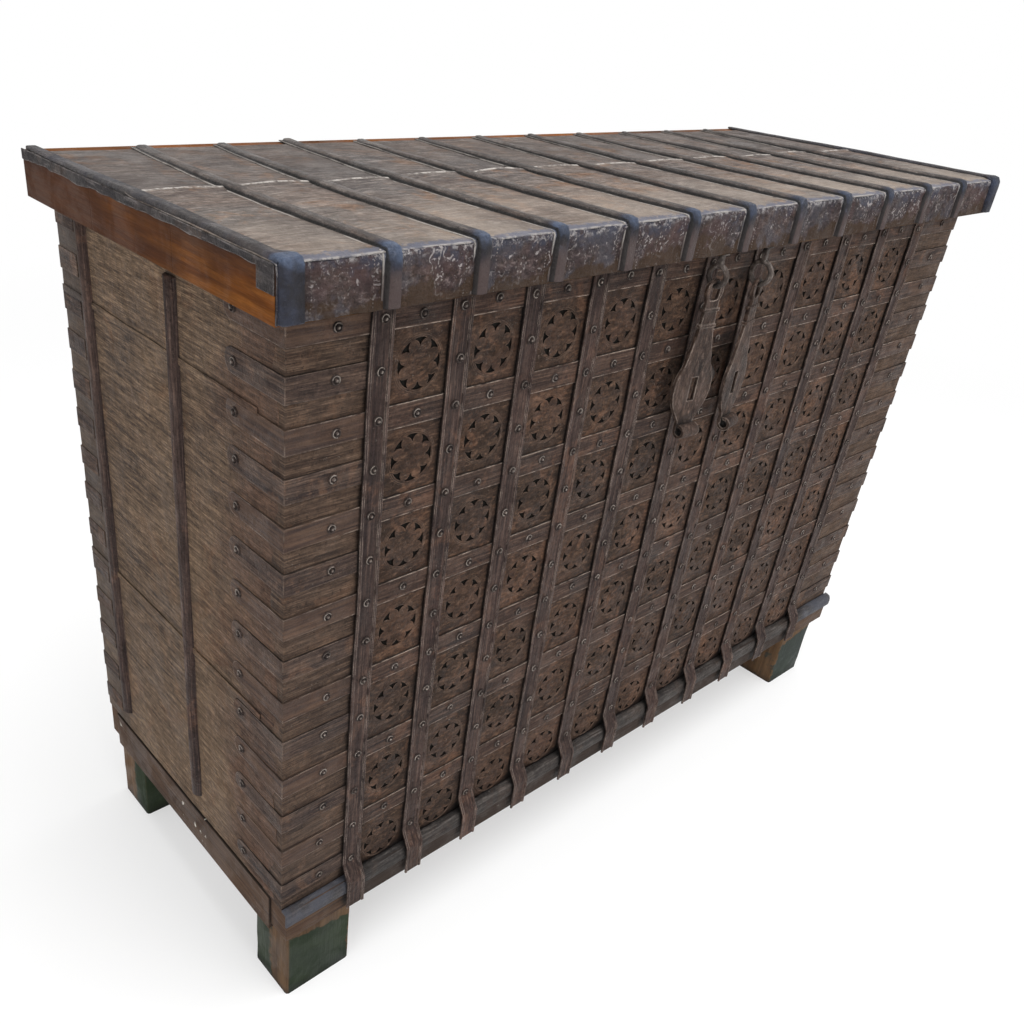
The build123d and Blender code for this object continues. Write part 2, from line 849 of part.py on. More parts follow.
pieces = {
    "post_front_left": post_front_left.part,
    "post_front_right": post_front_right.part,
    "post_back_left": post_back_left.part,
    "post_back_right": post_back_right.part,
    "front_rail": front_rail.part,
    "back_rail": back_rail.part,
    "side_rail_left": side_rail_left.part,
    "side_rail_right": side_rail_right.part,
    "base_moulding": base_moulding.part,
    "front_boards": front_boards.part,
    "back_boards": back_boards.part,
    "side_boards_left": side_boards_left.part,
    "side_boards_right": side_boards_right.part,
    "floor_bearers": floor_bearers.part,
    "floor_boards": floor_boards.part,
    "cross_straps": cross_straps.part,
    "corner_straps_left": corner_straps_left,
    "corner_straps_right": corner_straps_right,
    "vertical_bands": vertical_bands.part,
    "corner_sheet_left": corner_sheet_left,
    "corner_sheet_right": corner_sheet_right,
    "side_sheets_left": side_sheets_left.part,
    "side_sheets_right": side_sheets_right.part,
    "side_ribs_left": side_ribs_left.part,
    "side_ribs_right": side_ribs_right.part,
    "rear_straps_left": rear_straps_left.part,
    "rear_straps_right": rear_straps_right.part,
    "hasp_staple": hasp_staple.part,
    "lid_boards": lid_boards.part,
    "lid_battens": lid_battens.part,
    "lid_fascia": lid_fascia.part,
    "lid_sheet_front": lid_sheet_front.part,
    "lid_sheet_back": lid_sheet_back.part,
    "lid_ribs": lid_ribs.part,
    "lid_edge_strip_left": lid_edge_strip_left,
    "lid_edge_strip_right": lid_edge_strip_right,
    "lid_corner_tab_left": lid_corner_tab_left,
    "lid_corner_tab_right": lid_corner_tab_right,
    "hasp_eye_left": hasp_eye_left,
    "hasp_eye_right": hasp_eye_right,
    "hasp_left": hasp_left_part,
    "hasp_right": hasp_right_part,
    "hinge_straps": hinge_straps.part,
    "hinge_leaves": hinge_leaves.part,
    "hinge_pins": hinge_pins.part,
}
pieces.update(rosette_rows)

for name, shape in pieces.items():
    shape.label = name
    export_step(shape, f"parts/{name}.step")

print("front_y", front_y, "hinge", hinge_y, hinge_z)
print("left hasp bar", bar_z(hasp_left), "right hasp bar", bar_z(hasp_right), "hasp_y", hasp_y)
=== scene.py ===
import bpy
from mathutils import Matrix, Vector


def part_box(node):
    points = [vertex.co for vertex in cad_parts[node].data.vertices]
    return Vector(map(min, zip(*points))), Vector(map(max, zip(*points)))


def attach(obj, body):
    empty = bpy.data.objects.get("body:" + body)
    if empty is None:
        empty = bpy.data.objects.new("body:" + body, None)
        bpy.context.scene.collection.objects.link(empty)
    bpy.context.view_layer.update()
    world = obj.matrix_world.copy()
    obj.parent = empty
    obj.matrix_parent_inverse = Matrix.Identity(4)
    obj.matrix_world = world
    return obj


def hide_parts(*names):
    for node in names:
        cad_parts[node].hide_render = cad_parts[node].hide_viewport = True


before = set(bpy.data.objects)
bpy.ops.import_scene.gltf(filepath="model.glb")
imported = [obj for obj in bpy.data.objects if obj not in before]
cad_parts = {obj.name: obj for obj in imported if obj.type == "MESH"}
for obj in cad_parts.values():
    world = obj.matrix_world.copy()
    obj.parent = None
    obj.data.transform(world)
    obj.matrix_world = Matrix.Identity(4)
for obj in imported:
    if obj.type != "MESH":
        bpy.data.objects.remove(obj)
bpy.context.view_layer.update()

import math

import bpy
from mathutils import Matrix, Vector

# ------------------------------------------------------------------------------
# Viewpoint, floor and light: the chest stands on a pale studio floor, seen from
# above its front left corner, under three soft lamps in a bright plain room.


def rest():
    if bpy.context.mode != "OBJECT":
        bpy.ops.object.mode_set(mode="OBJECT")
    bpy.ops.object.select_all(action="DESELECT")


class Value:
    """What a shader node puts out: it adds, takes away and multiplies like a number."""

    def __init__(self, socket):
        self.socket = socket

    def __add__(self, other):
        return calc("ADD", self, other)

    def __sub__(self, other):
        return calc("SUBTRACT", self, other)

    def __rsub__(self, other):
        return calc("SUBTRACT", other, self)

    def __mul__(self, other):
        return calc("MULTIPLY", self, other)

    def __abs__(self):
        return calc("ABSOLUTE", self)


def feed(socket, value):
    if isinstance(value, Value):
        socket.id_data.links.new(value.socket, socket)
    else:
        socket.default_value = (*value, 1) if socket.type == "RGBA" else value


def put(beside, kind, inputs=None, **settings):
    tree = beside.socket.id_data if isinstance(beside, Value) else beside
    made = tree.nodes.new("ShaderNode" + kind)
    for setting, value in settings.items():
        setattr(made, setting, value)
    for socket, value in (inputs or {}).items():
        feed(made.inputs[socket], value)
    return made


def result(beside, kind, inputs=None, key=0, **settings):
    return Value(put(beside, kind, inputs, **settings).outputs[key])


def calc(operation, one, other=0.0, **settings):
    beside = one if isinstance(one, Value) else other
    return result(beside, "Math", {0: one, 1: other}, operation=operation, **settings)


def either(one, other):
    return calc("MAXIMUM", one, other)


rest()
right = Vector((0.755931, -0.648890, 0.086657))
upward = Vector((0.279825, 0.439942, 0.853316))
behind = Vector((-0.591833, -0.620800, 0.514142))
bpy.ops.object.camera_add(
    location=(-1.04312, -0.85961, 1.13364),
    rotation=Matrix((right, upward, behind)).transposed().to_euler(),
)
camera = bpy.context.object
camera.data.sensor_width = 36
camera.data.lens = 33.888
camera.data.shift_x = 0.0756
camera.data.shift_y = 0.0445
bpy.context.scene.camera = camera
bpy.context.scene.view_settings.view_transform = "Standard"

rest()
bpy.ops.mesh.primitive_circle_add(vertices=64, radius=60, fill_type="NGON")
floor = bpy.context.object
floor.name = "floor"
floor_paint = bpy.data.materials.new("floor_paint")
floor_paint.use_nodes = True
floor.data.materials.append(floor_paint)


def seen_directly(tree):
    ray = put(tree, "LightPath").outputs
    by_eye, in_gloss, through = (
        Value(ray[f"Is {kind} Ray"]) for kind in ("Camera", "Glossy", "Transmission")
    )
    return either(either(by_eye, in_gloss), through)


# the floor is half lit by the lamps and half plain white to the eye, so it keeps a soft shadow,
# and further out it turns all white, so that its rim doesn't show
tree = floor_paint.node_tree
matt = tree.nodes["Principled BSDF"]
feed(matt.inputs["Base Color"], (0.9, 0.9, 0.9))
feed(matt.inputs["Roughness"], 0.9)
feed(matt.inputs["Specular IOR Level"], 0.1)
white = result(tree, "Emission", {"Color": (1, 1, 1), "Strength": 1.0})
place = result(tree, "TexCoord", key="Object")
far = result(tree, "VectorMath", {0: place}, "Value", operation="LENGTH")
whitening = {"Value": far, "From Min": 0.9, "From Max": 3.2, "To Min": 0.5, "To Max": 1.0}
share = seen_directly(tree) * result(tree, "MapRange", whitening)
seen_floor = result(tree, "MixShader", {0: share, 1: Value(matt.outputs[0]), 2: white})
feed(tree.nodes["Material Output"].inputs["Surface"], seen_floor)

room = bpy.data.worlds.new("room")
bpy.context.scene.world = room
room.use_nodes = True
tree = room.node_tree
tree.nodes.clear()
strength = result(tree, "MapRange", {"Value": seen_directly(tree), "To Min": 0.7, "To Max": 1.0})
glow = result(tree, "Background", {"Color": (1, 1, 1), "Strength": strength})
put(tree, "OutputWorld", {"Surface": glow})

lamps = {
    "lamp_above": ((0.1, -0.7, 3.6), 2.6, 110),
    "lamp_left": ((-3.4, -1.2, 1.8), 2.0, 34),
    "lamp_front": ((0.8, -3.6, 1.6), 2.0, 34),
}
for lamp_name, (place, size, watts) in lamps.items():
    rest()
    bpy.ops.object.light_add(type="AREA", location=place)
    lamp = bpy.context.object
    lamp.name = lamp_name
    lamp.data.size = size
    lamp.data.energy = watts
    lamp.rotation_euler = (Vector(place) - Vector((0, 0, 0.5))).to_track_quat("Z", "Y").to_euler()

# ------------------------------------------------------------------------------
# Legs: four square corner posts of teak.  Below the case they are painted green,
# and the paint is rubbed through to bare wood on the corners and the upper end.


def effect(name, gives, **takes):
    """A group that takes the place and what is named here, with its usual values."""
    group = bpy.data.node_groups.new(name, "ShaderNodeTree")
    number, vector = "NodeSocketFloat", "NodeSocketVector"
    group.interface.new_socket("Place", in_out="INPUT", socket_type=vector)
    for label, usual in takes.items():
        kind = vector if isinstance(usual, tuple) else number
        group.interface.new_socket(label, in_out="INPUT", socket_type=kind).default_value = usual
    for label in gives:
        kind = vector if label == "Rounded" else number
        group.interface.new_socket(label, in_out="OUTPUT", socket_type=kind)
    taken = [Value(socket) for socket in group.nodes.new("NodeGroupInput").outputs]
    return group, taken[:-1], group.nodes.new("NodeGroupOutput").inputs


def use(group, place, **values):
    made = put(place, "Group", {"Place": place, **values}, node_tree=group)
    return {socket.name: Value(socket) for socket in made.outputs}


def spread(value, low, high, to_low=0.0, to_high=1.0):
    ends = {"From Min": low, "From Max": high, "To Min": to_low, "To Max": to_high}
    return result(value, "MapRange", {"Value": value, **ends}, interpolation_type="SMOOTHSTEP")


def noise(place, scale, detail=4.0, rough=0.55, twist=0.0):
    shape = {"Scale": scale, "Detail": detail, "Roughness": rough, "Distortion": twist}
    return result(place, "TexNoise", {"Vector": place, **shape}, "Fac")


def blended(share, one, other, way="MIX"):
    return result(share, "Mix", {0: share, 6: one, 7: other}, 2, data_type="RGBA", blend_type=way)


def coated(tint, *coats):
    """Each coat is a share, a colour and, where it isn't laid on plainly, the way it mixes."""
    for share, coat, *way in coats:
        tint = blended(share, tint, coat, *way)
    return tint


# worn edges: a mask along sharp corners, broken up, and a normal that rounds them
edge_wear, (place, width, break_up), given = effect(
    "edge_wear", ("Wear", "Rounded"), Width=0.002, Break_up=60.0
)
rounded = result(place, "Bevel", {"Radius": width}, samples=6)
flat = result(place, "NewGeometry", key="Normal")
turned = result(place, "VectorMath", {0: rounded, 1: flat}, "Value", operation="DOT_PRODUCT")
rubbed = spread(noise(place, break_up, 5.0, 0.65), 0.36, 0.62)
feed(given["Wear"], spread(turned, 0.985, 0.86) * rubbed)
feed(given["Rounded"], rounded)

# grime and painted shade: darkening from ambient occlusion wherever two pieces meet and in hollows,
# partly settled dust and soot, partly painted shade
grime_and_shade, (place, reach, strength), given = effect("grime_and_shade", ("Grime_and_shade",), Reach=0.012, Strength=1.0)
open_air = result(place, "AmbientOcclusion", {"Distance": reach}, "AO", samples=8)
dust_and_shade = spread(open_air, 0.92, 0.45) * spread(noise(place, 28.0), 0.25, 0.6, 0.55, 1.0)
feed(given["Grime_and_shade"], calc("MULTIPLY", dust_and_shade, strength, use_clamp=True))

# stains: broad, middle and fine colour changes, none of them lined up
stains, (place, scale), given = effect("stains", ("Broad", "Middle", "Fine"), Scale=6.0)
feed(given["Broad"], spread(noise(place, scale, 3.0, 0.5, 0.6), 0.33, 0.67))
feed(given["Middle"], spread(noise(place, scale * 4.3, 5.0, 0.62, 0.3), 0.33, 0.67))
feed(given["Fine"], spread(noise(place, scale * 32.0, 4.0, 0.7), 0.33, 0.67))

# streaks: long fine lines, from saw marks, wood grain or years of wiping one way
streaks, (place, stretch), given = effect("streaks", ("Streak", "Hair"), Stretch=(8.0, 8.0, 160.0))
drawn = result(place, "VectorMath", {0: place, 1: stretch}, operation="MULTIPLY")
feed(given["Streak"], spread(noise(drawn, 1.0, 5.0, 0.6, 0.5), 0.32, 0.68))
feed(given["Hair"], spread(noise(drawn, 3.6, 3.0, 0.7, 0.2), 0.3, 0.7))


def bare_material(name):
    material = bpy.data.materials.new(name)
    material.use_nodes = True
    return material, result(material.node_tree, "TexCoord", key="Object")


def finish_surface(material, tint, roughness, height, normal, metal=0.0, depth=0.001, push=0.6):
    surface = material.node_tree.nodes["Principled BSDF"].inputs
    feed(surface["Metallic"], metal)
    feed(surface["Specular IOR Level"], 0.2)
    feed(surface["Base Color"], tint)
    feed(surface["Roughness"], roughness)
    relief = {"Strength": push, "Distance": depth, "Height": height, "Normal": normal}
    feed(surface["Normal"], result(height, "Bump", relief))
    return material


def aged_wood(name, deep, warm, pale, stretch):
    material, place = bare_material(name)
    stain = use(stains, place, Scale=5.0)
    grain = use(streaks, place, Stretch=stretch)
    edge = use(edge_wear, place, Width=0.0025)
    dirt_and_shade = use(grime_and_shade, place, Reach=0.02, Strength=0.85)
    tint = coated(
        blended(stain["Broad"], deep, warm),
        (grain["Streak"] * 0.6, pale),
        (grain["Hair"] * 0.55, (0.35, 0.35, 0.35), "MULTIPLY"),
        (edge["Wear"] * 0.5, pale),
        # grime and painted shade: near black where pieces meet
        (dirt_and_shade["Grime_and_shade"], (0.012, 0.01, 0.009)),
    )
    roughness = spread(stain["Middle"], 0.0, 1.0, 0.55, 0.85)
    height = grain["Streak"] + grain["Hair"] * 0.6
    return finish_surface(material, tint, roughness, height, edge["Rounded"])


def split(place):
    return [Value(socket) for socket in put(place, "SeparateXYZ", {0: place}).outputs]


def paint_over(material):
    """The material's sockets, the colour it has so far, and the place with its x, y and z."""
    surface = material.node_tree.nodes["Principled BSDF"].inputs
    plain = Value(surface["Base Color"].links[0].from_socket)
    place = result(plain, "TexCoord", key="Object")
    return surface, plain, place, *split(place)


leg_wood = aged_wood(
    "leg_paint", deep=(0.048, 0.0259, 0.0136), warm=(0.104, 0.0547, 0.0248),
    pale=(0.16, 0.0936, 0.0465), stretch=(60, 60, 5),
)
# the green coat lies over the wood, below a slanting line and away from the outer corner
surface, bare, place, x, y, z = paint_over(leg_wood)
stain = use(stains, place, Scale=14.0)
edge = use(edge_wear, place, Width=0.004, Break_up=40.0)
dirt_and_shade = use(grime_and_shade, place, Reach=0.03, Strength=0.8)
ragged = (stain["Middle"] - 0.5) * 0.007
out_x = abs(x)
post_low, post_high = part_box("post_front_left")[0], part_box("post_back_left")[1]
middle_y = (post_low.y + post_high.y) / 2
reach_y = post_high.y - middle_y
painted = spread(z + (0.611 - out_x) * 0.16 + ragged, 0.107, 0.103)
rubbed_x = spread(out_x, 0.6065, 0.6092)
rubbed_y = spread(abs(y - middle_y) + ragged, reach_y - 0.041, reach_y - 0.034)
painted = painted * (1.0 - rubbed_x * rubbed_y)
painted = painted * (1.0 - edge["Wear"] * 0.6)
painted = painted * spread(out_x + ragged, 0.5155, 0.5185)
green = coated(
    blended(stain["Broad"], (0.006, 0.013, 0.006), (0.014, 0.024, 0.009)),
    (stain["Fine"] * 0.3, (0.028, 0.034, 0.02)),
    (spread(x, 0.0, 0.5, 0.0, 0.6), (0.034, 0.04, 0.039)),
    # grime and painted shade: near black where pieces meet
    (dirt_and_shade["Grime_and_shade"], (0.006, 0.007, 0.006)),
)
feed(surface["Base Color"], blended(painted, bare, green))


def hold(piece):
    rest()
    piece.select_set(True)
    bpy.context.view_layer.objects.active = piece


def open_up(piece, kind, test):
    hold(piece)
    bpy.ops.object.mode_set(mode="EDIT")
    bpy.ops.mesh.select_mode(type=kind)
    bpy.ops.mesh.select_all(action="DESELECT")
    bpy.ops.object.mode_set(mode="OBJECT")
    for part in piece.data.edges if kind == "EDGE" else piece.data.vertices:
        part.select = test(part)
    bpy.ops.object.mode_set(mode="EDIT")


def ends_of(piece, edge):
    return [piece.data.vertices[i].co for i in edge.vertices]


def along(piece, edge, axis):
    one, other = ends_of(piece, edge)
    way = other - one
    return abs(way[axis]) > 0.999 * way.length


def settle(name):
    piece = bpy.context.object
    piece.name = name
    bpy.ops.object.transform_apply(location=True, rotation=True, scale=True)
    return piece


def block(name, low, high):
    rest()
    bpy.ops.mesh.primitive_cube_add(
        size=1,
        location=[(a + b) / 2 for a, b in zip(low, high)],
        scale=[b - a for a, b in zip(low, high)],
    )
    return settle(name)


def round_off(piece, test, width, segments):
    open_up(piece, "EDGE", test)
    bpy.ops.mesh.bevel(offset=width, segments=segments)
    rest()


def divide(piece, axis, step):
    runs = [ends_of(piece, edge) for edge in piece.data.edges if along(piece, edge, axis)]
    longest = max((one - other).length for one, other in runs)
    open_up(piece, "EDGE", lambda e: along(piece, e, axis))
    bpy.ops.mesh.subdivide(number_cuts=max(1, round(longest / step) - 1))
    rest()


def shape_with(piece, kind, **settings):
    hold(piece)
    tool = piece.modifiers.new(kind.lower(), kind)
    for setting, value in settings.items():
        setattr(tool, setting, value)
    bpy.ops.object.modifier_apply(modifier=tool.name)


def roughen(piece, amount, size, direction="NORMAL", **settings):
    lumps = bpy.data.textures.new("lumps", "CLOUDS")
    lumps.noise_scale = size
    lumps.noise_depth = 2
    shape_with(
        piece, "DISPLACE", texture=lumps, texture_coords="LOCAL", direction=direction,
        strength=amount, mid_level=0.5, **settings,
    )


def smooth(piece, angle=35):
    hold(piece)
    bpy.ops.object.shade_smooth_by_angle(angle=math.radians(angle))
    rest()


def joined(name, pieces):
    rest()
    for piece in pieces:
        piece.select_set(True)
    bpy.context.view_layer.objects.active = pieces[0]
    if len(pieces) > 1:
        bpy.ops.object.join()
    whole = bpy.context.object
    whole.name = name
    rest()
    return whole


def place_on(piece, body, slot, material, *nodes):
    if material:
        piece.data.materials.clear()
        piece.data.materials.append(material)
    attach(piece, body)
    for node in nodes:
        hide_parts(node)


leg_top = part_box("front_rail")[0].z
corner_round = 0.004
for post in ("post_front_left", "post_front_right", "post_back_left", "post_back_right"):
    low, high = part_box(post)
    foot = block(post + "_foot", low, Vector((high.x, high.y, leg_top)))
    round_off(foot, lambda e: along(foot, e, 2), corner_round, 2)
    divide(foot, 2, 0.012)
    roughen(foot, 0.0022, 0.03)
    for point in foot.data.vertices:
        if point.co.z < 0.003:
            point.co.z = 0
    smooth(foot)
    # above the foot the post stands inside the boards
    in_x, in_y = 0.015, 0.023
    trunk = block(
        post + "_trunk",
        (low.x + (in_x if low.x < 0 else 0), low.y + (in_y if low.y < 0 else 0), leg_top - 0.004),
        (high.x - (in_x if low.x > 0 else 0), high.y - (in_y if low.y > 0 else 0), high.z),
    )
    place_on(joined(post + "_leg", [foot, trunk]), "chest", "leg_paint", leg_wood, post)

# ------------------------------------------------------------------------------
# Rails: four sawn teak rails tie the posts just above the feet.  They are bare
# wood, darkened by handling, with splashes of old limewash along the ends.


def keep(material, *nodes):
    for node in nodes:
        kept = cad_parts[node]
        kept.data.materials.clear()
        kept.data.materials.append(material)


rail_wood = aged_wood(
    "rail_wood", deep=(0.0243, 0.0133, 0.0095), warm=(0.0669, 0.0336, 0.0184),
    pale=(0.114, 0.063, 0.034), stretch=(5, 5, 110),
)
surface, plain, place, x, y, z = paint_over(rail_wood)
splash = spread(noise(place, 70.0, 3.0, 0.6), 0.66, 0.7) * spread(noise(place, 9.0, 2.0), 0.52, 0.6)
# painted shade: between the legs the front rail is darkened almost black under the moulding
shade_under_moulding = spread(abs(x), 0.52, 0.505) * spread(y, -0.2, -0.21, 0.0, 0.85)
tint = coated(plain, (splash, (0.5, 0.47, 0.42)), (shade_under_moulding, (0.022, 0.015, 0.012)))
feed(surface["Base Color"], tint)
keep(rail_wood, "front_rail", "back_rail", "side_rail_left", "side_rail_right")

# ------------------------------------------------------------------------------
# Case boards: plain planks nailed to the posts, seen on the back and inside.
# They were never finished and have gone grey-brown.

board_wood = aged_wood(
    "board_wood", deep=(0.07, 0.042, 0.027), warm=(0.14, 0.085, 0.052), pale=(0.22, 0.15, 0.1),
    stretch=(1.6, 1.6, 90),
)
# painted shade: the boards' outer face, which shows through the punched openings, is made near
# black
surface, clean, place, x, y, z = paint_over(board_wood)
outer_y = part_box("front_boards")[0].y
shade_in_openings = spread(y, outer_y + 0.002, outer_y + 0.001)
feed(surface["Specular IOR Level"], 0.05)
feed(surface["Base Color"], blended(shade_in_openings, clean, (0.007, 0.006, 0.005)))
keep(board_wood, "front_boards", "back_boards", "side_boards_left", "side_boards_right")
keep(board_wood, "floor_bearers", "floor_boards")

# ------------------------------------------------------------------------------
# Base moulding: a bar of sheet iron beaten round the front rail, grey-blue and
# dull, with the feet of the bands hooked over it.

# blooms: ragged patches of fresh rust, with pale specks and dark pits strewn over the iron
blooms, (place, scale, start), given = effect(
    "blooms", ("Bloom", "Speck", "Pit"), Scale=11.0, Start=0.56
)
strewn = spread(noise(place, scale * 2.1, 3.0), 0.42, 0.62)
feed(given["Bloom"], spread(noise(place, scale, 7.0, 0.72, 0.9), start, start + 0.1))
feed(given["Speck"], spread(noise(place, 330.0, 5.0, 0.75, 0.6), 0.6, 0.68) * strewn)
feed(given["Pit"], spread(noise(place, 270.0, 3.0, 0.6, 0.4), 0.6, 0.68))


def worn_iron(
    name, dark, warm, cool, pale, rust, stretch=(9, 9, 120), patch=7.0, streak=0.4, rust_share=0.6,
    specks=0.3, edge_width=0.0018, edge_tint=None, edge_share=0.75, shade_and_dirt=0.9, rough=(0.5, 0.8),
    metal=0.12, depth=0.0014, push=0.8,
):
    material, place = bare_material(name)
    stain = use(stains, place, Scale=patch)
    drawn = use(streaks, place, Stretch=stretch)
    rusty = use(blooms, place, Scale=2.4 * patch, Start=0.53)
    edge = use(edge_wear, place, Width=edge_width)
    dirt_and_shade = use(grime_and_shade, place, Reach=0.014, Strength=shade_and_dirt)
    tint = coated(
        blended(stain["Broad"], dark, warm),
        (stain["Middle"] * 0.55, cool),
        (rusty["Bloom"] * rust_share, rust),
        (drawn["Streak"] * streak, pale),
        (drawn["Hair"] * 0.8, (0.24, 0.22, 0.22), "MULTIPLY"),
        (spread(drawn["Hair"], 0.22, 0.0, 0.0, 0.5), pale),
        (stain["Fine"] * 0.5, (0.34, 0.33, 0.33), "MULTIPLY"),
        (rusty["Pit"] * 0.6, (0.2, 0.19, 0.19), "MULTIPLY"),
        (rusty["Speck"] * specks, (0.36, 0.3, 0.26)),
        (edge["Wear"] * edge_share, edge_tint or pale),
        # grime and painted shade: near black where pieces meet
        (dirt_and_shade["Grime_and_shade"], (0.006, 0.005, 0.005)),
    )
    height = drawn["Streak"] * 0.5 + stain["Fine"] * 0.6 + stain["Middle"] + rusty["Speck"] * 0.4
    roughness = spread(stain["Middle"], 0.0, 1.0, *rough)
    return finish_surface(material, tint, roughness, height, edge["Rounded"], metal, depth, push)


moulding_iron = worn_iron(
    "moulding_iron", dark=(0.026, 0.021, 0.019), warm=(0.05, 0.038, 0.031),
    cool=(0.044, 0.041, 0.042), pale=(0.14, 0.125, 0.115), rust=(0.07, 0.044, 0.032),
    stretch=(6, 40, 190), streak=0.5,
)
# its ends beyond the outermost bands are paler and bluer
surface, plain, place, x, y, z = paint_over(moulding_iron)
bluer = spread(abs(x), 0.51, 0.54) * spread(noise(place, 30.0), 0.3, 0.6, 0.25, 0.75)
feed(surface["Base Color"], blended(bluer, plain, (0.07, 0.073, 0.09)))


def edit_all(piece):
    open_up(piece, "VERT", lambda v: True)


def linked(name, mesh):
    piece = bpy.data.objects.new(name, mesh)
    bpy.context.scene.collection.objects.link(piece)
    return piece


def merged_copy(node, name):
    twin = linked(name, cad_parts[node].data.copy())
    edit_all(twin)
    bpy.ops.mesh.remove_doubles(threshold=0.00001)
    bpy.ops.mesh.select_all(action="SELECT")
    bpy.ops.mesh.dissolve_limited(angle_limit=math.radians(1))
    rest()
    return twin


def slice_at(piece, axis, places):
    way = [0, 0, 0]
    way[axis] = 1
    for where in places:
        edit_all(piece)
        point = [0, 0, 0]
        point[axis] = where
        bpy.ops.mesh.bisect(plane_co=point, plane_no=way)
    rest()


def soften(piece, width, segments=2, angle=30):
    shape_with(
        piece, "BEVEL", width=width, segments=segments, limit_method="ANGLE",
        angle_limit=math.radians(angle),
    )


moulding = merged_copy("base_moulding", "base_moulding_beaten")
slice_at(moulding, 0, [-0.61 + 0.03 * i for i in range(41)])
moulding_low, moulding_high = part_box("base_moulding")
for point in moulding.data.vertices:
    # beaten slimmer than the bar it was made from, its left end cut back to the corner
    point.co.x = max(point.co.x, moulding_low.x + 0.0065)
    point.co.z = moulding_low.z + 0.004 + 0.78 * (point.co.z - moulding_low.z)
    if point.co.y < moulding_high.y - 0.006:
        point.co.y += 0.2 * (moulding_high.y - 0.006 - point.co.y)
roughen(moulding, 0.0016, 0.035)
roughen(moulding, 0.005, 0.09, "Z")
soften(moulding, 0.0008, 2, 40)
smooth(moulding)
place_on(moulding, "chest", "moulding_iron", moulding_iron, "base_moulding")

# ------------------------------------------------------------------------------
# Rosette sheets: thin iron plates between the bands, each punched with a ring of
# eight openings between the petals of a flower, which is beaten up within a rim.


def stepped(first, last, count, growth):
    run = abs(last - first)
    way = 1 if last > first else -1
    step = (run - growth * count * (count - 1) / 2) / count
    return [first + way * (step * i + growth * i * (i - 1) / 2) for i in range(count + 1)]


def between(places):
    return [(a + b) / 2 for a, b in zip(places, places[1:])]


def wire(name, points, closed=False):
    rest()
    bpy.ops.mesh.primitive_plane_add(size=0.001, location=points[0])
    piece = settle(name)
    bpy.ops.object.mode_set(mode="EDIT")
    bpy.ops.mesh.select_mode(type="VERT")
    bpy.ops.mesh.select_all(action="SELECT")
    bpy.ops.mesh.merge(type="CENTER")
    for start, end in zip(points, points[1:]):
        bpy.ops.mesh.extrude_vertices_move(
            TRANSFORM_OT_translate={"value": Vector(end) - Vector(start)}
        )
    if closed:
        bpy.ops.mesh.select_all(action="SELECT")
        bpy.ops.mesh.edge_face_add()
    rest()
    return piece


def pull(piece, move):
    edit_all(piece)
    bpy.ops.mesh.extrude_region_move(TRANSFORM_OT_translate={"value": move})
    rest()


def lathe(name, profile, steps):
    piece = wire(name, [(r, -out, 0) for r, out in profile])
    edit_all(piece)
    bpy.ops.mesh.spin(steps=steps, angle=2 * math.pi, center=(0, 0, 0), axis=(0, 1, 0))
    bpy.ops.mesh.select_all(action="SELECT")
    bpy.ops.mesh.remove_doubles(threshold=0.00002)
    bpy.ops.mesh.normals_make_consistent(inside=False)
    rest()
    return piece


def copied(master, name, move, turn):
    twin = linked(name, master.data.copy())
    twin.data.transform(turn)
    twin.data.transform(Matrix.Translation(move))
    return twin


def cut_away(piece, cutter):
    shape_with(piece, "BOOLEAN", object=cutter, operation="DIFFERENCE", solver="EXACT")


plate_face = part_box("rosette_sheet_row_1")[0].y
body_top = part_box("front_boards")[1].z
rail_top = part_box("front_rail")[1].z
band_xs = stepped(-0.523, 0.489, 10, 0.0014)
column_xs = between(band_xs)
row_zs = stepped(body_top - 0.0667, rail_top + 0.032, 6, 0.0032)
cross_zs = [body_top - 0.0172] + between(row_zs)

sheet_thick = 0.0012
plate = block("plate", (-0.047, -sheet_thick, -0.046), (0.047, 0, 0.046))
flower = lathe(
    "flower",
    [
        (0.0, 0.0030), (0.0020, 0.0028), (0.0032, 0.0015), (0.0060, 0.0017), (0.0078, 0.0024),
        (0.0110, 0.0024), (0.0140, 0.0014), (0.0160, 0.0020), (0.0262, 0.0015), (0.0272, 0.0010),
        (0.0281, 0.0016), (0.0288, 0.0015), (0.0296, 0.0009), (0.0296, 0.0002), (0.0, 0.0002),
    ],
    48,
)
opening = []
for degrees, radius in (
    (-18, 25.2), (-9, 25.5), (0, 25.6), (9, 25.5), (18, 25.2), (11, 23.4), (5.5, 21.0), (2.2, 18.6),
    (0, 16.8), (-2.2, 18.6), (-5.5, 21.0), (-11, 23.4),
):
    angle = math.radians(degrees)
    opening.append((radius / 1000 * math.sin(angle), -0.006, radius / 1000 * math.cos(angle)))
petals = wire("petals", opening, closed=True)
pull(petals, (0, 0.012, 0))
edit_all(petals)
bpy.ops.mesh.normals_make_consistent(inside=False)
bpy.ops.mesh.spin(steps=7, angle=math.radians(315), center=(0, 0, 0), axis=(0, 1, 0), dupli=True)
rest()
cut_away(plate, petals)
cut_away(flower, petals)
bpy.data.objects.remove(petals)
tile = joined("tile", [plate, flower])
smooth(tile, 30)

